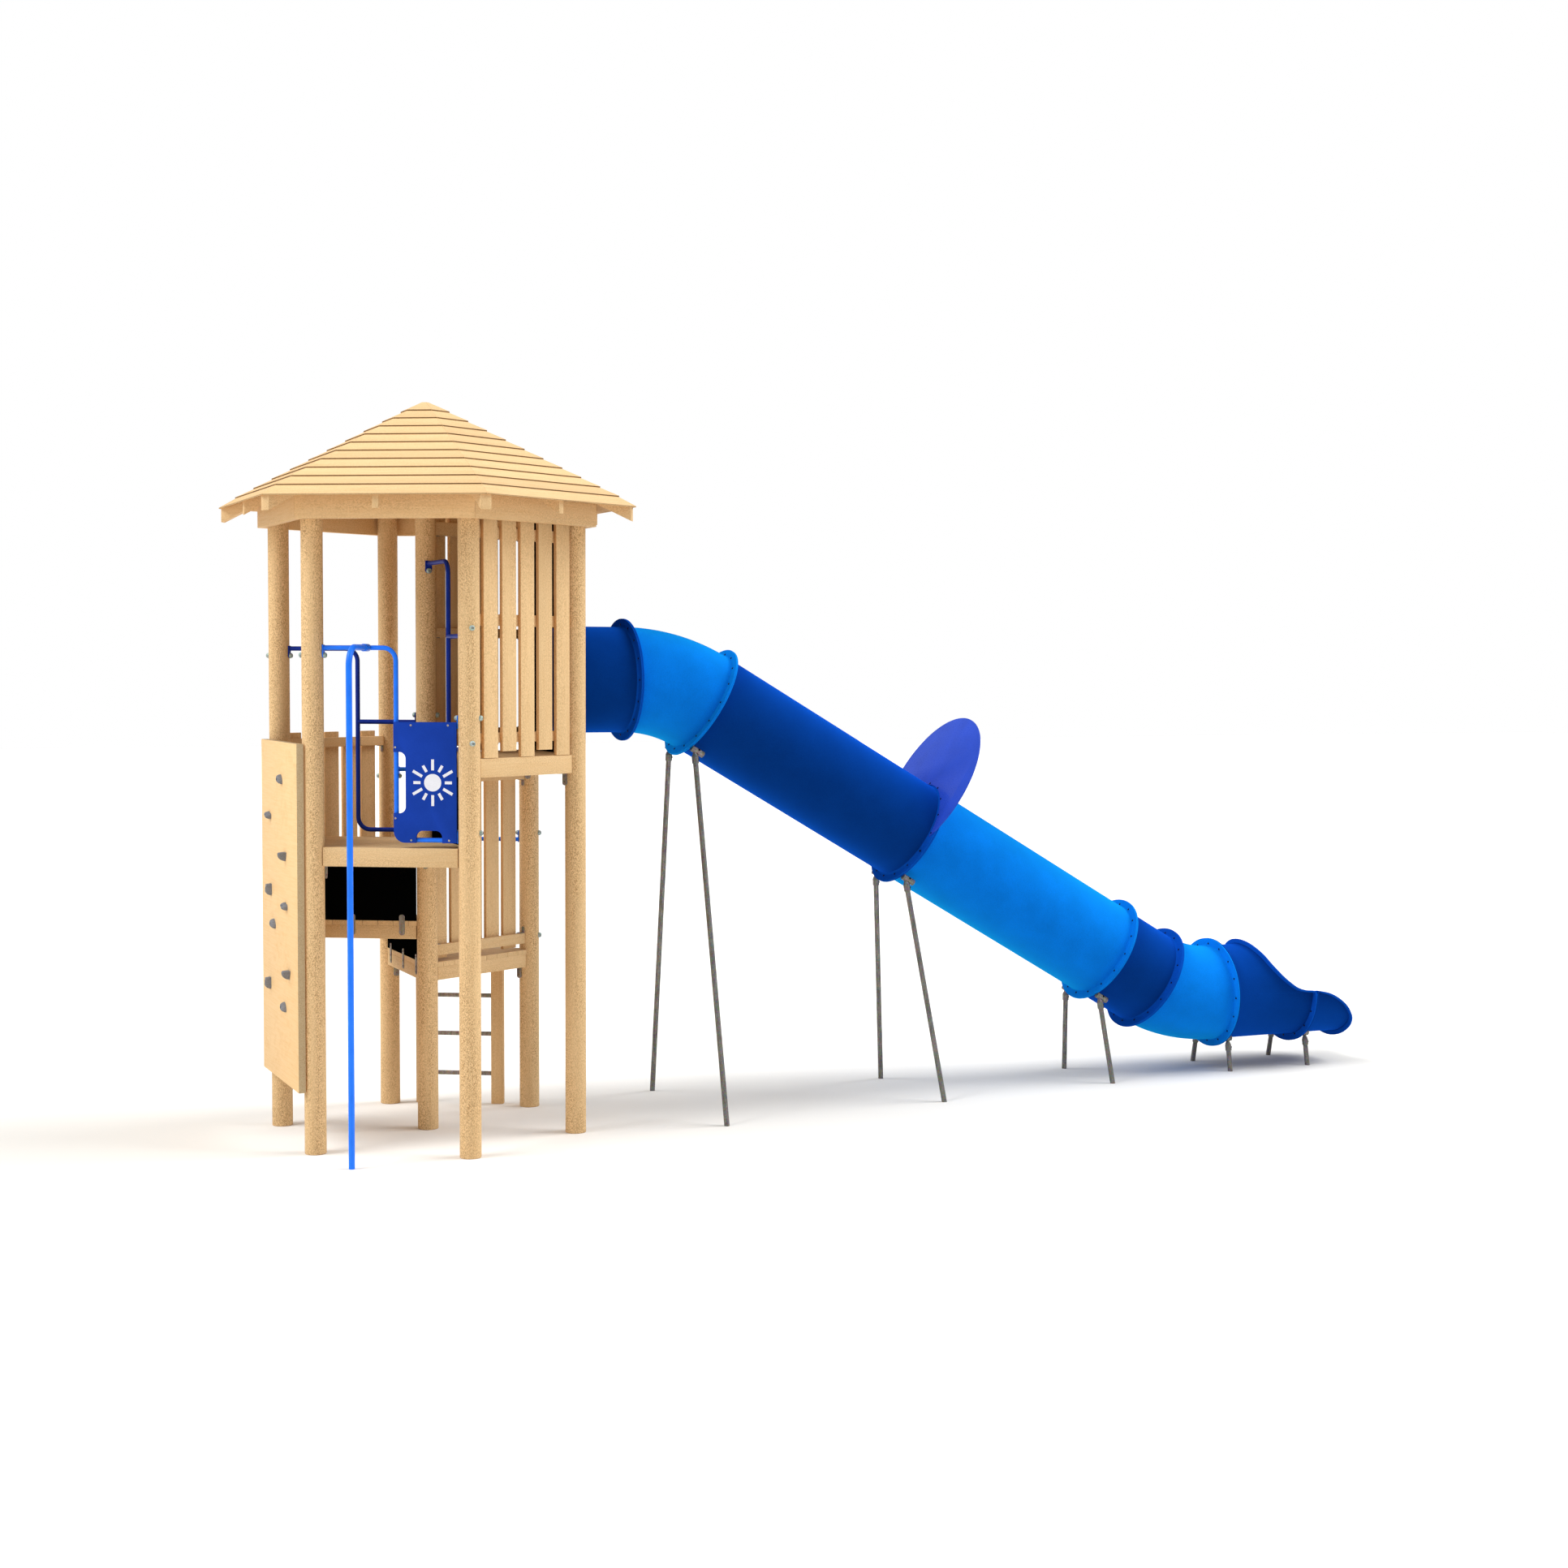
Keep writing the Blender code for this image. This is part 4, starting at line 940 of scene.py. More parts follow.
def angle_pair(side, place, way, z, drop, width, reach=0.045):
    """A steel angle in a corner: a strip down or up the post, a foot on the timber, its rivets' places."""
    middle, span = place
    leg = sorted((span + way * 0.0008, span + way * 0.0055))
    foot = sorted((span + way * 0.0008, span + way * reach))
    turned_up = drop < 0
    heights = (z, z - drop) if turned_up else (z - drop, z)
    flat = (z, z + 0.0045) if turned_up else (z - 0.0045, z)
    out = (middle - width / 2, middle + width / 2)
    rounded = (1,) if turned_up else (-1,)
    parts = [strip(side, leg, out, heights, rounded), side.plank(foot, out, flat, 0, 0.001)]
    face = span + way * 0.0055
    return parts, [(side.at(face, middle, z - drop * part), side.along * way) for part in (0.25, 0.72)]


def deck_angles(number):
    """Steel angles under the beam ends, and their rivets' places."""
    keys = DECK_KEYS[number]
    sides, _ = outline_corners(keys, BEAM_OUT)
    low = DECK_TOPS[number] - BEAM_DEPTH - 0.0002
    parts = []
    rivets = []
    for side, start, end in zip(sides, keys, keys[1:] + keys[:1]):
        if number == 4 and (start, end) == ("slide_back", "centre"):
            continue
        for face, way in zip(POST_TO_POST, (1, -1)):
            made, spots = angle_pair(side, (BRACKET_OUT, face), way, low, 0.09, 0.045, 0.085)
            parts += made
            rivets += spots
    return parts, rivets


class TOWER_OT_decks(bpy.types.Operator):
    """Four decks of boards on edge beams, with steel angles under the beam ends"""
    bl_idname = "tower.decks"
    bl_label = "Decks"

    def execute(self, context):
        for number in DECK_KEYS:
            name = "deck_%d" % number
            present(name + "_boards", [deck_boards(number)], "pine", "planed_pine", name)
            present(name + "_beams", deck_beams(number), "pine", "planed_pine")
            angles, rivets = deck_angles(number)
            present(name + "_angles", angles, "galvanised_steel", "strap_zinc")
            screws(name + "_rivets", 0.0065, 0.002, rivets, "rivet_brown")
        return {"FINISHED"}


class TOWER_OT_risers(bpy.types.Operator):
    """Black riser panels with steel straps"""
    bl_idname = "tower.risers"
    bl_label = "Riser panels"

    def execute(self, context):
        face = BEAM_OUT + STRAP_THICK
        for start, lower in (("back", 1), ("outer_back", 2), ("front", 3)):
            name = "riser_%d_to_%d" % (lower, lower + 1)
            side = Side(start, "centre")
            low = DECK_TOPS[lower]
            high = DECK_TOPS[lower + 1] - DECK_BOARD
            panel = side.plank(POST_TO_POST, (BEAM_OUT - PANEL_THICK, BEAM_OUT),
                               (low + GAP, high - GAP), 0, 0.002)
            present(name + "_panel", [panel], "black_panel", "black_sheet", name)
            straps = []
            spots = []
            for place in STRAP_PLACES:
                straps.append(strip(side, (place - STRAP_HALF, place + STRAP_HALF), (BEAM_OUT + GAP, face),
                                    (low - STRAP_FALL, low + STRAP_RISE)))
                spots += [(side.at(place, face, low + z), side.out) for z in STRAP_SCREWS]
            heads = set_at(hex_screw(0.007, 0.003), spots)
            present(name + "_straps", straps + heads, "galvanised_steel", "strap_zinc")
        return {"FINISHED"}


class TOWER_OT_slat_walls(bpy.types.Operator):
    """Walls and fence of upright slats on rails"""
    bl_idname = "tower.slat_walls"
    bl_label = "Slat walls"

    def execute(self, context):
        deck_1, deck_2, _, deck_4 = DECK_TOPS.values()
        under_4 = deck_4 - BEAM_DEPTH - 0.004
        tall = ((deck_4 + 0.002, WALL_TOP), (deck_4 + 0.045, WALL_TOP))
        for name, start, end, way, shift, spans, rails in (
                ("slat_wall_front", "front", "slide_front", 1, 0.0, tall,
                 ((2.86, 2.93), (3.67, 3.75), (4.27, 4.35))),
                ("slat_partition_upper", "centre", "slide_back", -1, -0.030, tall,
                 ((2.86, 2.93), (3.60, 3.67), (4.34, 4.44))),
                ("slat_partition_lower", "centre", "slide_back", -1, -0.030,
                 ((deck_1 + 0.02, under_4), (deck_1 + 0.06, under_4)), ((1.269, 1.348), (2.53, 2.60))),
                ("slat_fence_back", "outer_back", "back", -1, -0.026,
                 ((deck_2 + 0.02, 2.895), (deck_2 + 0.06, 2.83)), ((1.60, 1.67), (2.782, 2.852)))):
            side = Side(start, end)
            parts = []
            angles = []
            for rail in rails:
                parts.append(side.plank(POST_TO_POST, sorted(way * out for out in RAIL), rail))
                parts[-1].data.materials.append(looks()["planed_pine"])
                seat, drop = (rail[1] + 0.0002, -0.05) if rail is rails[0] else (rail[0] - 0.0002, 0.05)
                for face, heading in zip(POST_TO_POST, (1, -1)):
                    angles += angle_pair(side, (-way * 0.008, face), heading, seat, drop, 0.026)[0]
            for k in range(5):
                middle = POST_CIRCLE / 2 + shift + (k - 2) * SLAT_PITCH
                slat = side.plank((middle - SLAT_HALF, middle + SLAT_HALF), sorted(way * out for out in SLAT),
                                  spans[k % 2], 2, 0.0035)
                # Painted shade: the narrow sides facing along the wall get a darker orange finish.
                two_toned(slat, "planed_pine", "slat_edge", lambda normal: abs(normal.dot(side.along)) > 0.8)
                parts.append(slat)
            present(name + "_boards", parts, "pine", None, name)
            present(name + "_angles", angles, "galvanised_steel", "strap_zinc")
        return {"FINISHED"}


class TOWER_OT_entry_panel(bpy.types.Operator):
    """Black panel with a round hole where the tube starts"""
    bl_idname = "tower.entry_panel"
    bl_label = "Entry panel"

    def execute(self, context):
        low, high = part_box("slide_entry_panel")
        half = PANEL_THICK / 2
        panel = Side("slide_front", "slide_back").block(POST_TO_POST, (-half, half), (low.z, high.z))
        settle(panel)
        cut_away(panel, [rod(Vector((0.5, 0, ENTRY_AXIS_Z)), Vector((1.4, 0, ENTRY_AXIS_Z)), TUBE_BORE, 96)])
        ease(panel, 0.002)
        present("entry_panel_sheet", [panel], "black_panel", "black_sheet", "slide_entry_panel")
        return {"FINISHED"}


def grip_body(scale, place=(0.0, 0.0, 0.0), turn=0.0):
    bpy.ops.object.select_all(action="DESELECT")
    bpy.ops.mesh.primitive_ico_sphere_add(subdivisions=4, radius=1.0, location=place, rotation=(0, 0, turn),
                                          scale=scale)
    piece = bpy.context.object
    settle(piece)
    return piece


def grip(kind):
    """A moulded climbing grip with its back at the origin, looking along +Z, with +Y up."""
    if kind == "slant":
        piece = grip_body((0.046, 0.024, 0.040), turn=math.radians(-38))
        planes = [((0, 0, 0.034), (0.1, 0.2, 1))]
    elif kind == "lobed":
        piece = grip_body((0.030, 0.022, 0.038), (-0.020, 0.006, 0))
        cut_away(piece, [grip_body((0.030, 0.022, 0.042), (0.022, -0.004, 0))], "UNION")
        planes = []
    elif kind == "fin":
        piece = grip_body((0.050, 0.046, 0.056))
        planes = [((0, 0.016, 0), (0, 1, 0.06)), ((0.030, 0, 0), (1, -0.5, 0.2)),
                  ((-0.034, 0, 0), (-1, -0.4, 0.2))]
    else:
        piece = grip_body((0.038, 0.054, 0.050))
        planes = [((0, 0.032, 0), (0, 1, 0.1)), ((0.026, 0, 0), (1, 0, 0.25)),
                  ((-0.026, 0, 0), (-1, 0, 0.25)), ((0, 0, 0.040), (0, 0.1, 1))]
    sliced(piece, planes + [((0, 0, -0.002), (0, 0, -1))])
    ease(piece, 0.003, 2, 25)
    cut_away(piece, [rod(Vector((0, 0, 0.010)), Vector((0, 0, 0.08)), 0.010, 20)])
    return piece


class TOWER_OT_climbing_wall(bpy.types.Operator):
    """Plywood climbing wall with moulded grips"""
    bl_idname = "tower.climbing_wall"
    bl_label = "Climbing wall"

    def execute(self, context):
        side = Side("outer_back", "outer_front")
        way = side.out
        near = POST_RADIUS + GAP
        face = near + PLY_THICK
        board = side.plank((-PLY_OVER, POST_CIRCLE + PLY_OVER), (near, face), PLY_HEIGHTS, 0, 0.002)
        two_toned(board, "plywood", "plywood_edge", lambda normal: abs(normal.dot(way)) < 0.6)
        present("climbing_board", [board], "pine_light", None, "climbing_wall")
        models = {kind: grip(kind) for kind in sorted({kind for kind, _, _ in GRIPS})}
        grips = []
        bolts = []
        upright = Matrix((UP.cross(way), UP, way)).transposed().to_4x4()
        for kind, along, z in GRIPS:
            place = side.at(along, face, z)
            grips.append(copied(models[kind], Matrix.Translation(place) @ upright))
            bolts.append((place + way * 0.010, way))
        for model in models.values():
            bpy.data.objects.remove(model, do_unlink=True)
        present("climbing_grips", grips, "galvanised_steel", "grip_stone")
        screws("climbing_grip_bolts", 0.0085, 0.006, bolts)
        return {"FINISHED"}


class TOWER_OT_guards(bpy.types.Operator):
    """Guard frames of bent tube, with plates and capped bolts through the posts"""
    bl_idname = "tower.guards"
    bl_label = "Guard frames"

    def execute(self, context):
        near, far = POST_TO_POST
        through = 2 * POST_RADIUS + END_PLATE
        spots = []
        # The two guards inside the tower take the darker paint, as painted shade.
        for name, start, end, deck, look in (
                ("guard_ladder", "back", "slide_back", 1, "blue_paint"),
                ("guard_step", "outer_back", "centre", 3, "deep_paint"),
                ("guard_pole", "outer_front", "front", 3, "blue_paint"),
                ("guard_upper", "centre", "front", 4, "deep_paint")):
            side = Side(start, end)
            top, bar, low = (DECK_TOPS[deck] + height for height in (GUARD_TOP, GUARD_BAR, GUARD_BOTTOM))
            route = [side.at(near + 0.003, 0, top), side.at(GUARD_TURN, 0, top), side.at(GUARD_TURN, 0, low),
                     side.at(far - 0.003, 0, low)]
            parts = [pipe(route, GUARD_RADIUS, GUARD_BEND),
                     rod(side.at(GUARD_TURN, 0, bar), side.at(far - 0.003, 0, bar), GUARD_RADIUS, 20)]
            for stretch, z, turn in (((near, near + END_PLATE), top, -1), ((far - END_PLATE, far), bar, 1),
                                     ((far - END_PLATE, far), low, 1)):
                reach = sorted(z + turn * end for end in END_PLATE_REACH)
                parts.append(strip(side, stretch, (-END_PLATE_HALF, END_PLATE_HALF), reach, (turn,)))
            present(name + "_frame", parts, "guard_blue_paint", look, name)
            for place, z, turn in ((near + END_PLATE, top - CAP_DROP, 1),
                                   (far - END_PLATE, bar + CAP_DROP, -1),
                                   (far - END_PLATE, low + CAP_DROP, -1)):
                spots.append((side.at(place, 0, z), side.along * turn))
                spots.append((side.at(place - through * turn, 0, z), side.along * -turn))
        present("guard_caps", set_at(cap_bolt(), spots), "galvanised_steel")
        return {"FINISHED"}


def sun_design(side, out):
    """A plain sun of a round disc and straight rays, raised a little from the plate."""
    way = side.out
    centre = side.at(SUN_MIDDLE[0], out, SUN_MIDDLE[1])
    parts = [rod(centre - way * 0.0005, centre + way * 0.0008, SUN_RADIUS, 64)]
    for k in range(SUN_RAYS):
        angle = 2 * math.pi * k / SUN_RAYS
        spoke = side.along * math.cos(angle) + UP * math.sin(angle)
        reach = (0.085, 0.160 if k % 2 else 0.135)
        ray = block((reach[1] - reach[0], 0.0013, 0.020), centre + way * 0.00015 + spoke * sum(reach) / 2,
                    Matrix((spoke, -way, spoke.cross(-way))).transposed().to_euler())
        settle(ray)
        parts.append(ray)
    return parts


def plate_cutter(side, along, z):
    """A rounded cutter through the plate."""
    cutter = side.block(along, (-0.07, 0.13), z)
    with editing(cutter):
        pick_edges(cutter, lambda run, middle: abs(run.y) > 0.1)
        bpy.ops.mesh.bevel(offset=0.045, segments=10)
    settle(cutter)
    return cutter


class TOWER_OT_guard_plate(bpy.types.Operator):
    """Blue infill plate with a hand notch, an arch and a plain sun"""
    bl_idname = "tower.guard_plate"
    bl_label = "Guard plate"

    def execute(self, context):
        side = Side("outer_front", "front")
        near = GUARD_RADIUS + GAP
        face = near + PANEL_THICK
        left, low = PLATE_ALONG[0], PLATE_HEIGHTS[0]
        plate = side.block(PLATE_ALONG, (near, face), PLATE_HEIGHTS)
        with editing(plate):
            pick(plate, lambda co: co.x < 0 and co.z < 0)
            bpy.ops.mesh.bevel(offset=PLATE_CORNER, segments=12)
        settle(plate)
        cut_away(plate, [plate_cutter(side, (left - NOTCH_DEPTH, left + NOTCH_DEPTH), NOTCH_HEIGHTS),
                         plate_cutter(side, ARCH_ALONG, (low - ARCH_HEIGHT, low + ARCH_HEIGHT))])
        ease(plate, 0.002)
        present("guard_plate_sheet", [plate], "plate_blue", "plate_sheet", "guard_plate")
        present("guard_plate_sun", sun_design(side, face), "plate_blue", "plate_design")
        spots = [(side.at(along, face, z), side.out) for along, z in PLATE_SCREWS]
        screws("guard_plate_screws", 0.007, 0.002, spots, "screw_tan")
        return {"FINISHED"}


class TOWER_OT_pole(bpy.types.Operator):
    """Sliding pole, bent over at the top and sleeved onto the guard"""
    bl_idname = "tower.pole"
    bl_label = "Sliding pole"

    def execute(self, context):
        side = Side("outer_front", "front")
        top = DECK_TOPS[3] + GUARD_TOP
        near = GUARD_RADIUS + GAP
        end = side.at(POLE_PLACE, near, top)
        route = [side.at(POLE_PLACE, POLE_OUT, 0), side.at(POLE_PLACE, POLE_OUT, top), end]
        parts = [pipe(route, POLE_RADIUS, POLE_BEND, 32, 14),
                 rod(end, side.at(POLE_PLACE, near + SLEEVE_LENGTH, top), SLEEVE_RADIUS, 32, 0.003)]
        present("pole_tube", parts, "guard_blue_paint", "blue_paint", "sliding_pole")
        spots = [(side.at(POLE_PLACE, near + out, top) - side.along * 0.0255, -side.along)
                 for out in (0.025, 0.085)]
        screws("pole_sleeve_screws", 0.006, 0.002, spots)
        return {"FINISHED"}


class TOWER_OT_ladder(bpy.types.Operator):
    """Ladder of two stiles and three steel rungs"""
    bl_idname = "tower.ladder"
    bl_label = "Ladder"

    def execute(self, context):
        side = Side("slide_back", "back")
        near = BEAM_OUT + GAP
        stiles = [side.plank(along, (near, near + STILE_DEPTH), (0, DECK_TOPS[1]), 2, 0.005)
                  for along in STILES]
        present("ladder_stiles", stiles, "pine_light", "planed_pine", "ladder")
        rungs = []
        for z in RUNG_HEIGHTS:
            ends = [side.at(along, near + STILE_DEPTH / 2, z)
                    for along in (STILES[0][1] - 0.02, STILES[1][0] + 0.02)]
            rungs.append(rod(*ends, RUNG_RADIUS, 24, 0.002))
        present("ladder_rungs", rungs, "galvanised_steel", "strap_zinc")
        return {"FINISHED"}


class Joint:
    """A joint of the slide, with its centre and slope, and the ways down the slide and square to it."""

    def __init__(self, centre, slope):
        self.centre = centre
        self.slope = slope
        self.down = Vector((math.cos(slope), 0, -math.sin(slope)))
        self.rise = Vector((math.sin(slope), 0, math.cos(slope)))

    def spoke(self, angle):
        return self.rise * math.cos(angle) + Vector((0, -math.sin(angle), 0))


def slide_joints():
    """The joints down the slide, from the entry tube's end to the lip's start, each from the one before."""
    joints = [Joint(Vector((ENTRY_JOINT_X, 0, ENTRY_AXIS_Z)), 0.0)]
    bend = Vector((BEND_RADIUS * math.sin(SLOPE), 0, -BEND_RADIUS * (1 - math.cos(SLOPE))))
    joints.append(Joint(joints[-1].centre + bend, SLOPE))
    for run in (LONG_TUBE, LONG_TUBE, SHORT_TUBE):
        joints.append(Joint(joints[-1].centre + joints[-1].down * run, SLOPE))
    joints.append(Joint(joints[-1].centre + bend + UP * EXIT_LIFT, 0.0))
    joints.append(Joint(Vector((TROUGH_JOINT_X, 0, joints[-1].centre.z)), 0.0))
    return joints


def flange(joint, way):
    """A moulded flange with a round rim and a fillet on to the tube, behind or before a joint."""
    axis = joint.down * way
    rim = FLANGE_RADIUS
    soft = FLANGE_ROUND
    softer = soft * 0.3
    profile = [(0, TUBE_BORE + 0.001), (0, rim - soft), (softer, rim - softer), (soft, rim),
               (FLANGE_THICK - soft, rim), (FLANGE_THICK - softer, rim - softer), (FLANGE_THICK, rim - soft)]
    for k in range(5):
        a = math.radians(90 * k / 4)
        profile.append((FLANGE_THICK + FILLET * (1 - math.cos(a)),
                        TUBE_RADIUS + GAP + FILLET * (1 - math.sin(a))))
    profile += [(FLANGE_THICK + FILLET, TUBE_RADIUS - 0.004), (0.006, TUBE_BORE + 0.001)]
    return turned(profile, joint.centre + axis * GAP / 2, axis, TUBE_SIDES)


def tube_wall(joint, travel=None, bend=None):
    """The wall of a slide section: a ring cut from a disc, extruded straight or spun round a bend."""
    bpy.ops.object.select_all(action="DESELECT")
    bpy.ops.mesh.primitive_circle_add(vertices=TUBE_SIDES, radius=TUBE_RADIUS, fill_type="NGON",
                                      location=joint.centre + joint.down * 0.001,
                                      rotation=joint.down.to_track_quat("Z", "Y").to_euler())
    piece = bpy.context.object
    settle(piece)
    with editing(piece):
        bpy.ops.mesh.inset(thickness=(TUBE_RADIUS - TUBE_BORE) * math.cos(math.pi / TUBE_SIDES))
        bpy.ops.mesh.delete(type="FACE")
        bpy.ops.mesh.select_all(action="SELECT")
        if travel:
            bpy.ops.mesh.extrude_region_move(TRANSFORM_OT_translate={"value": joint.down * (travel - 0.002)})
        else:
            hub, angle = bend
            bpy.ops.mesh.spin(steps=24, angle=angle, center=hub, axis=(0, -1, 0))
        face_outwards()
    return piece


class TOWER_OT_tubes(bpy.types.Operator):
    """Closed slide sections with their flanges"""
    bl_idname = "tower.tubes"
    bl_label = "Slide tubes"

    def execute(self, context):
        joints = slide_joints()
        entry = Joint(Vector((APOTHEM + (PANEL_THICK + GAP) / 2, 0, ENTRY_AXIS_Z)), 0.0)
        hub_top = joints[0].centre - UP * BEND_RADIUS
        hub_low = joints[4].centre + joints[4].rise * BEND_RADIUS
        # Flanges of the dark sections get the lighter blue, as a painted highlight.
        rims = {"dark": "dark_rim", "light": "light_tube"}
        above = "dark"
        for name, start, end, travel, bend, shade in (
                ("slide_entry", entry, joints[0], (joints[0].centre - entry.centre).length, None, "dark"),
                ("slide_top_bend", joints[0], joints[1], None, (hub_top, SLOPE), "light"),
                ("slide_straight_upper", joints[1], joints[2], LONG_TUBE, None, "dark"),
                ("slide_straight_lower", joints[2], joints[3], LONG_TUBE, None, "light"),
                ("slide_short", joints[3], joints[4], SHORT_TUBE, None, "dark"),
                ("slide_bottom_bend", joints[4], joints[5], None, (hub_low, -SLOPE), "light")):
            wall = tube_wall(start, travel, bend)
            if name == "slide_bottom_bend":
                span = end.centre.x - start.centre.x
                for spot in wall.data.vertices:
                    spot.co.z += EXIT_LIFT * min(1.0, max(0.0, (spot.co.x - start.centre.x) / span))
            parts = [wall, flange(end, -1), flange(start, 1)]
            for part, look in zip(parts, (shade + "_tube", rims[shade], rims[above])):
                part.data.materials.append(looks()[look])
            present(name + "_tube", parts, "slide_%s_blue" % shade, None, name)
            above = shade
        return {"FINISHED"}


def finer(rim, steps=3):
    """The rim's points with smooth points between them."""
    fine = []
    for k in range(len(rim) - 1):
        before = Vector(rim[max(k - 1, 0)])
        first, second = Vector(rim[k]), Vector(rim[k + 1])
        after = Vector(rim[min(k + 2, len(rim) - 1)])
        for step in range(steps):
            t = step / steps
            fine.append(tuple(first + (second - before) * (0.5 * t)
                              + (before * 2 - first * 5 + second * 4 - after) * (0.5 * t * t)
                              + (first * 3 - before - second * 3 + after) * (0.5 * t ** 3)))
    return fine + [tuple(rim[-1])]


def rim_columns(rim):
    """Angle, rim x and radius, and two places set in square to the rim: its back and its fillet's foot."""
    columns = []
    for k, (angle, x) in enumerate(rim):
        before = rim[max(k - 1, 0)]
        after = rim[min(k + 1, len(rim) - 1)]
        run = Vector((after[1] - before[1], math.radians(after[0] - before[0]) * RIM_RADIUS)).normalized()
        if angle in (0, 180):
            run = Vector((0.0, 1.0))
        inset = [(x - run.y * depth, angle + math.degrees(run.x * depth / RIM_RADIUS))
                 for depth in (RIM_THICK, RIM_THICK + RIM_FILLET)]
        columns.append((angle, x, RIM_RADIUS, *inset))
    return columns


def open_wall(front, axis_z, columns, closed):
    """A wall from a flange at the front to a rim, along columns down the near side and up the far one."""
    far = [(360 - angle, x, radius, *[(bx, 360 - ba) for bx, ba in inset])
           for angle, x, radius, *inset in reversed(columns[:-1])]
    if closed:
        far.pop()
    behind = front + FLANGE_THICK
    verts = []
    for angle, x, radius, back, foot in columns + far:
        loop = [
            (front, angle, TUBE_BORE),
            (front, angle, FLANGE_RADIUS),
            (behind, angle, FLANGE_RADIUS),
            (behind, angle, TUBE_RADIUS + 0.010),
            (behind + 0.003, angle, TUBE_RADIUS + 0.003),
            (behind + 0.010, angle, TUBE_RADIUS),
            (*foot, TUBE_RADIUS),
            (foot[0] * 0.25 + back[0] * 0.75, foot[1] * 0.25 + back[1] * 0.75, TUBE_RADIUS + 0.003),
            (*back, TUBE_RADIUS + 0.010),
            (*back, radius),
            (x, angle, radius),
            (x, angle, TUBE_BORE),
        ]
        for spot_x, spot_angle, spot_radius in loop:
            a = math.radians(spot_angle)
            verts.append((spot_x, -spot_radius * math.sin(a), axis_z + spot_radius * math.cos(a)))
    size = len(loop)
    count = len(columns) + len(far)
    faces = []
    for c in range(count if closed else count - 1):
        here, there = c * size, (c + 1) % count * size
        faces += [(here + i, here + (i + 1) % size, there + (i + 1) % size, there + i) for i in range(size)]
    walls = len(faces)
    if not closed:
        faces += [tuple(range(size)), tuple(range((count - 1) * size, count * size))]
    mesh = bpy.data.meshes.new("open_wall")
    mesh.from_pydata(verts, [], faces)
    for look in ("dark_tube", "dark_rim"):
        mesh.materials.append(looks()[look])
    # The rim faces get the lighter blue, as a painted highlight.
    for face in mesh.polygons[:walls]:
        if face.index % size in RIM_FACES:
            face.material_index = 1
    piece = bpy.data.objects.new("open_wall", mesh)
    bpy.context.scene.collection.objects.link(piece)
    with editing(piece):
        face_outwards()
    ease(piece, 0.0025, 2, 50)
    return piece


class TOWER_OT_trough(bpy.types.Operator):
    """Cut-away exit section and the open lip"""
    bl_idname = "tower.trough"
    bl_label = "Slide exit and lip"

    def execute(self, context):
        centre = slide_joints()[5].centre
        end = TROUGH_JOINT_X - GAP / 2
        back = end - FLANGE_THICK
        foot = back - RIM_FILLET
        columns = rim_columns(finer(EXIT_RIM))[:-1]
        angle = EXIT_RIM[-1][0]
        columns.append((angle, end, RIM_RADIUS, (back, angle + 1.9), (foot, angle + 3.4)))
        columns += [(a, end, FLANGE_RADIUS, (back, a), (foot, a)) for a in [*range(91, 179, 4), 180]]
        wall = open_wall(centre.x + GAP / 2, centre.z, columns, True)
        present("slide_exit_wall", [wall], "slide_dark_blue", None, "slide_exit")
        columns = rim_columns(finer(LIP_RIM))
        angle, x = LIP_RIM[0]
        columns[0] = (angle, x, RIM_RADIUS, (x - RIM_THICK, angle), (x - RIM_THICK - 0.004, angle))
        wall = open_wall(TROUGH_JOINT_X + GAP / 2, centre.z, columns, False)
        present("slide_lip_wall", [wall], "slide_dark_blue", None, "slide_lip")
        return {"FINISHED"}


class TOWER_OT_flange_bolts(bpy.types.Operator):
    """Bolts round the flanges of the slide; the shield hides some and the open trough has no upper ones"""
    bl_idname = "tower.flange_bolts"
    bl_label = "Flange bolts"

    def execute(self, context):
        joints = slide_joints()
        highest = {joints[2]: -0.3, joints[6]: -0.1}
        count = context.scene.tower_sizes.flange_bolts
        spots = []
        for joint in joints:
            for k in range(count):
                angle = math.radians(360 * k / count)
                if math.cos(angle) > highest.get(joint, 1.0):
                    continue
                place = joint.centre + joint.spoke(angle) * BOLT_CIRCLE
                for way in (joint.down, -joint.down):
                    spots.append((place + way * (FLANGE_THICK + GAP), way))
        screws("flange_bolt_heads", 0.0075, 0.003, spots)
        return {"FINISHED"}


class TOWER_OT_shield(bpy.types.Operator):
    """Round shield over the middle joint"""
    bl_idname = "tower.shield"
    bl_label = "Shield"

    def execute(self, context):
        joint = slide_joints()[2]
        centre, way = joint.centre, joint.down
        face = BEHIND_FLANGE + SHIELD_THICK
        middle = centre + joint.rise * SHIELD_RISE
        disc = rod(middle - way * face, middle - way * BEHIND_FLANGE, SHIELD_RADIUS, 160)
        cut_away(disc, [rod(centre - way * 0.1, centre + way * 0.1, TUBE_RADIUS + 0.0155, 160)])
        ease(disc, 0.0015)
        present("shield_disc", [disc], "shield_blue", "shield_sheet", "slide_shield")
        spots = []
        for k in range(-3, 6):
            spoke = joint.spoke(math.radians(22.5 * k))
            spots.append((centre + spoke * (BOLT_CIRCLE + 0.006) - way * face, -way))
        screws("shield_bolts", 0.0075, 0.003, spots)
        return {"FINISHED"}


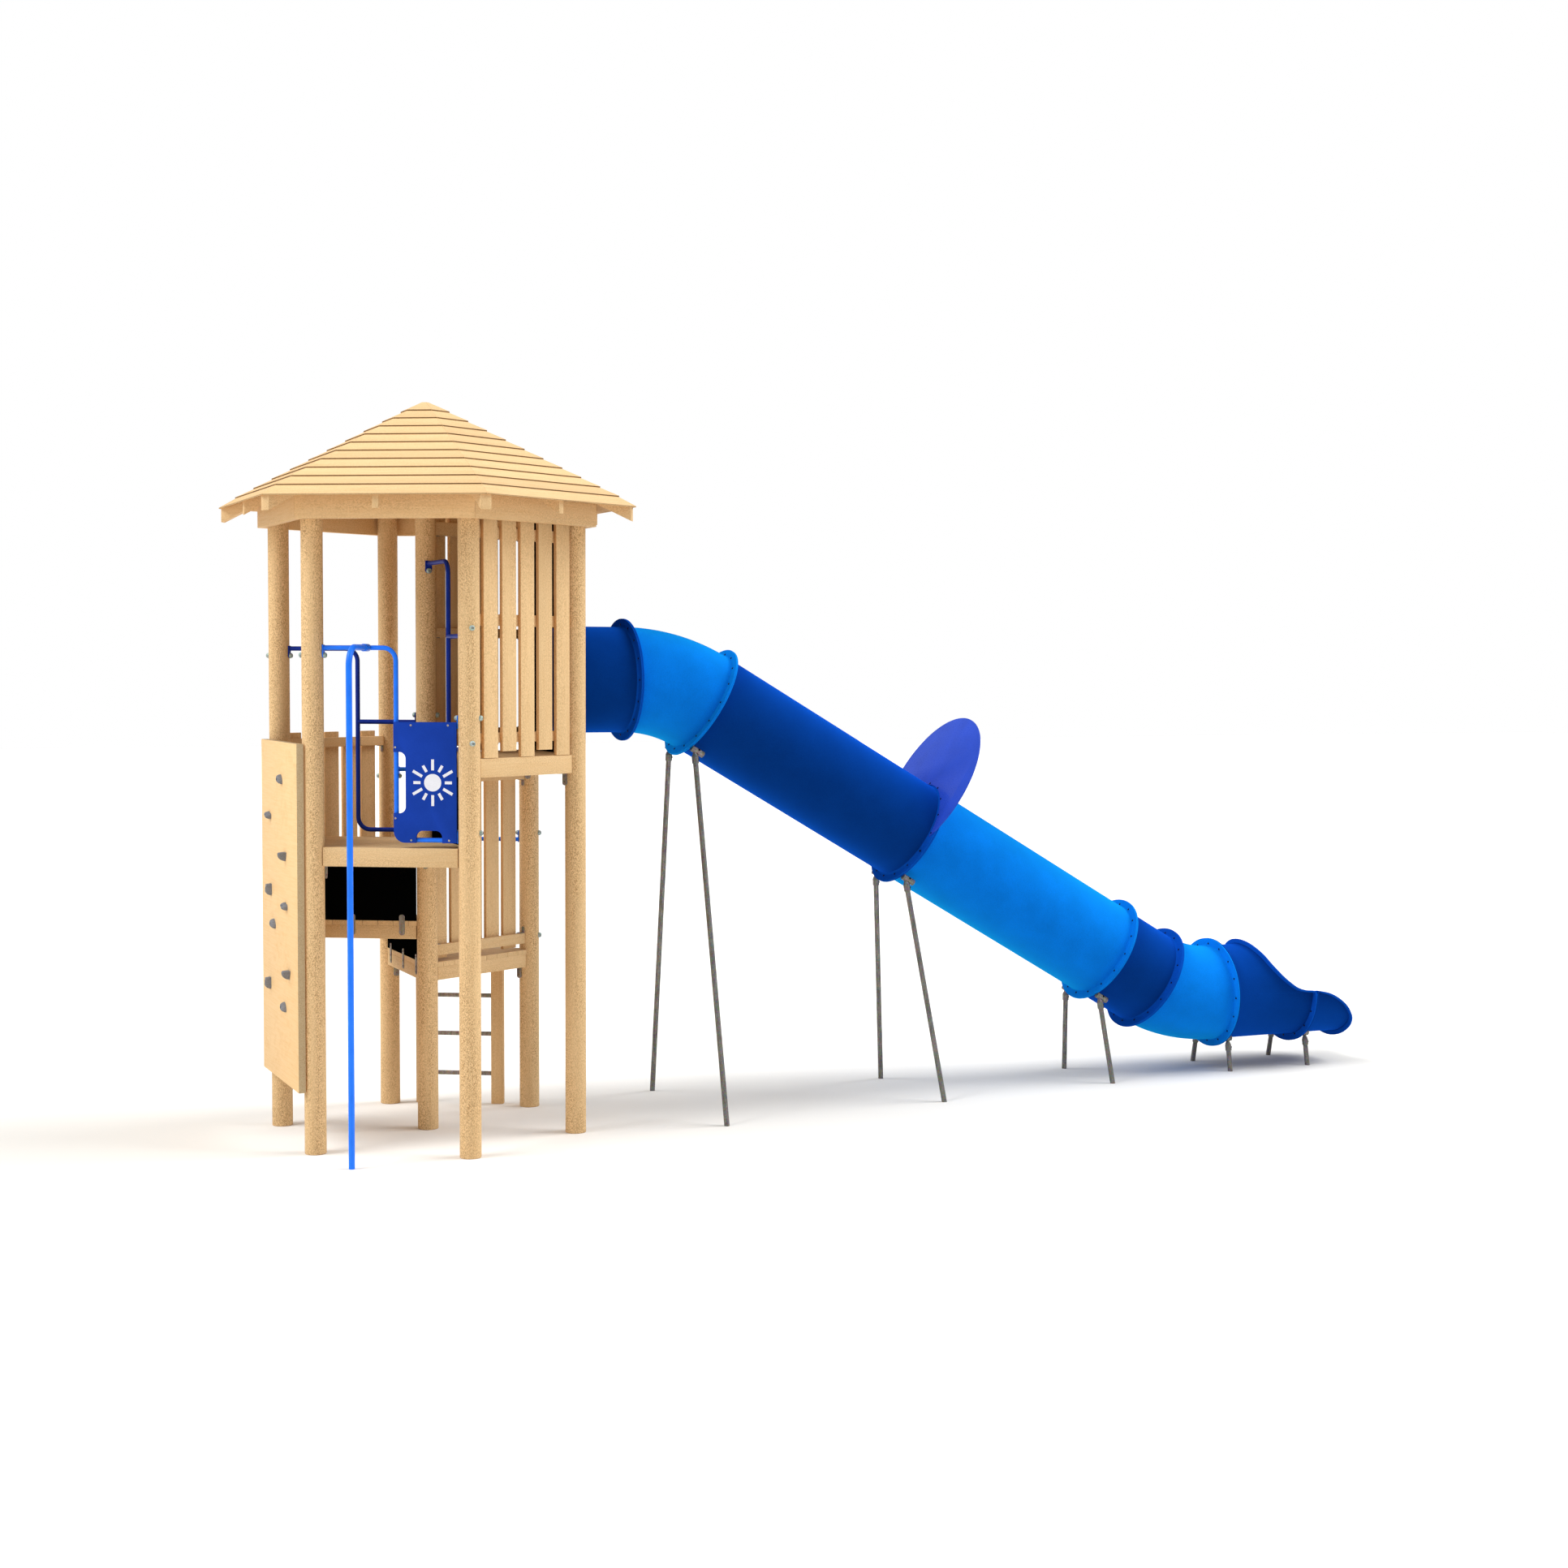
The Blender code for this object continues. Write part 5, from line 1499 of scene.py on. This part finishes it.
def leg(joint, way, foot):
    """One slide leg with its sleeve, neck, pivot bar and bracket, and its dark screws' places."""
    down = joint.down
    bar, circle, angle = SLOPED_PIVOT if joint.slope else LEVEL_PIVOT
    sideways = Vector((0, way * circle * math.sin(angle), 0))
    seat = joint.centre - joint.rise * (circle * math.cos(angle)) + sideways
    near = seat + down * BEHIND_FLANGE
    top = seat + down * PIVOT_MEET
    ground = Vector((foot[0], way * foot[1], 0))
    fall = (ground - top).normalized()
    tube = rod(top + fall * 0.07, ground + fall * 0.02, LEG_RADIUS, 32)
    sliced(tube, [((0, 0, 0), (0, 0, -1))])
    parts = [tube, turned(LEG_SLEEVE, top, fall), turned(LEG_NECK, top, fall), turned(LEG_PIN, top, fall, 24),
             rod(near, near + down * bar, PIVOT_RADIUS, 32, 0.003)]
    outward = seat - joint.centre
    outward = (outward - down * outward.dot(down)).normalized()
    across = outward.cross(down)
    bracket = block((0.046, 0.040, 0.005), near - outward * 0.012 + down * 0.0025,
                    Matrix((across, outward, down)).transposed().to_euler())
    settle(bracket)
    ease(bracket, 0.001)
    parts.append(bracket)
    right = (RIGHT_OF_EYE - fall * RIGHT_OF_EYE.dot(fall)).normalized()
    spots = [(top + fall * 0.078 + right * 0.0255, right)]
    if joint.slope:
        spots.append((near + down * 0.055 - across * (0.024 * way), -across * way))
    return parts, spots


class TOWER_OT_legs(bpy.types.Operator):
    """Steel legs under the slide"""
    bl_idname = "tower.legs"
    bl_label = "Slide legs"

    def execute(self, context):
        joints = slide_joints()
        stations = [joints[k] for k in (1, 2, 3, 5, 6)]
        spots = []
        for number, (joint, foot) in enumerate(zip(stations, LEG_FEET), 1):
            for word, way in (("front", -1), ("back", 1)):
                name = "leg_%d_%s" % (number, word)
                parts, heads = leg(joint, way, foot)
                spots += heads
                present(name + "_steel", parts, "galvanised_steel", "zinc", name)
        screws("leg_screws", 0.0085, 0.003, spots)
        return {"FINISHED"}


def soft_sun(name, heading):
    """A broad, even light from a compass heading in degrees."""
    data = bpy.data.lights.new(name, "SUN")
    data.energy = SUN_STRENGTH
    data.color = DAYLIGHT
    data.angle = math.radians(SUN_SPREAD)
    lamp = bpy.data.objects.new(name, data)
    bpy.context.scene.collection.objects.link(lamp)
    lamp.rotation_euler = (math.radians(90 - SUN_HEIGHT), 0, math.radians(heading + 90))


def sky():
    """White behind the tower; as a light, brighter from above than from the sides."""
    world = bpy.data.worlds.new("white")
    world.use_nodes = True
    world.node_tree.nodes.clear()
    nodes = Nodes(world.node_tree)
    height = nodes.node("ShaderNodeSeparateXYZ", None, {0: nodes.node("ShaderNodeTexCoord")}, 2)
    strength = nodes.node("ShaderNodeMapRange", None, {"Value": height, "From Min": -0.1, "From Max": 1.0,
                                                       "To Min": SKY_SIDES, "To Max": SKY_TOP})
    lit = nodes.node("ShaderNodeBackground", None, {"Color": (*DAYLIGHT, 1), "Strength": strength})
    seen = nodes.node("ShaderNodeBackground", None, {"Color": (1, 1, 1, 1), "Strength": 1.0})
    both = nodes.node("ShaderNodeMixShader", None, {0: nodes.node("ShaderNodeLightPath"), 1: lit, 2: seen})
    nodes.node("ShaderNodeOutputWorld", None, {0: both})
    return world


class TOWER_OT_stage(bpy.types.Operator):
    """Floor, camera, soft lights and a white surround"""
    bl_idname = "tower.stage"
    bl_label = "Stage"

    def execute(self, context):
        scene = context.scene
        bpy.ops.object.select_all(action="DESELECT")
        bpy.ops.mesh.primitive_plane_add(size=FLOOR_SIZE, location=(2, 0, 0))
        floor = context.object
        floor.name = "floor"
        look = Look("pale_floor", 0.9, 0.0)
        look.feed("Base Color", look.mix(look.noise(look.place(), 0.3), *FLOOR_TONES))
        floor.data.materials.append(look.material)
        soft_sun("left_sun", 178)
        soft_sun("right_sun", 345)
        scene.world = sky()
        scene.view_settings.view_transform = "Standard"
        camera = bpy.data.objects.new("camera", bpy.data.cameras.new("camera"))
        scene.collection.objects.link(camera)
        view = Vector(EYE_WAY).normalized()
        right = view.cross(UP).normalized()
        above = right.cross(view)
        across = right * math.cos(EYE_ROLL) + above * math.sin(EYE_ROLL)
        upright = above * math.cos(EYE_ROLL) - right * math.sin(EYE_ROLL)
        pose = Matrix((across, upright, -view)).transposed().to_4x4()
        pose.translation = Vector(EYE)
        camera.matrix_world = pose
        camera.data.sensor_width = SENSOR
        camera.data.lens = SENSOR * LENS_PER_WIDTH
        scene.camera = camera
        return {"FINISHED"}


OPERATORS = (
    TOWER_OT_posts,
    TOWER_OT_roof,
    TOWER_OT_rafters,
    TOWER_OT_decks,
    TOWER_OT_risers,
    TOWER_OT_slat_walls,
    TOWER_OT_entry_panel,
    TOWER_OT_climbing_wall,
    TOWER_OT_guards,
    TOWER_OT_guard_plate,
    TOWER_OT_pole,
    TOWER_OT_ladder,
    TOWER_OT_tubes,
    TOWER_OT_trough,
    TOWER_OT_flange_bolts,
    TOWER_OT_shield,
    TOWER_OT_legs,
    TOWER_OT_stage,
)


class TOWER_PT_panel(bpy.types.Panel):
    """The tower's pieces, in order of making"""
    bl_idname = "TOWER_PT_panel"
    bl_label = "Playground tower"
    bl_space_type = "VIEW_3D"
    bl_region_type = "UI"
    bl_category = "Tower"

    def draw(self, context):
        for group in (context.scene.tower_sizes, context.scene.tower_colours):
            for name in group.__annotations__:
                self.layout.prop(group, name)
        for operator in OPERATORS:
            self.layout.operator(operator.bl_idname)


CLASSES = (TowerSizes, TowerColours, *OPERATORS, TOWER_PT_panel)


def register():
    for item in CLASSES:
        bpy.utils.register_class(item)
    bpy.types.Scene.tower_sizes = PointerProperty(type=TowerSizes)
    bpy.types.Scene.tower_colours = PointerProperty(type=TowerColours)


def unregister():
    del bpy.types.Scene.tower_colours
    del bpy.types.Scene.tower_sizes
    for item in reversed(CLASSES):
        bpy.utils.unregister_class(item)


def main():
    register()
    for operator in OPERATORS:
        group, name = operator.bl_idname.split(".")
        getattr(getattr(bpy.ops, group), name)()
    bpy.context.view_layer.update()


if __name__ == "__main__":
    main()
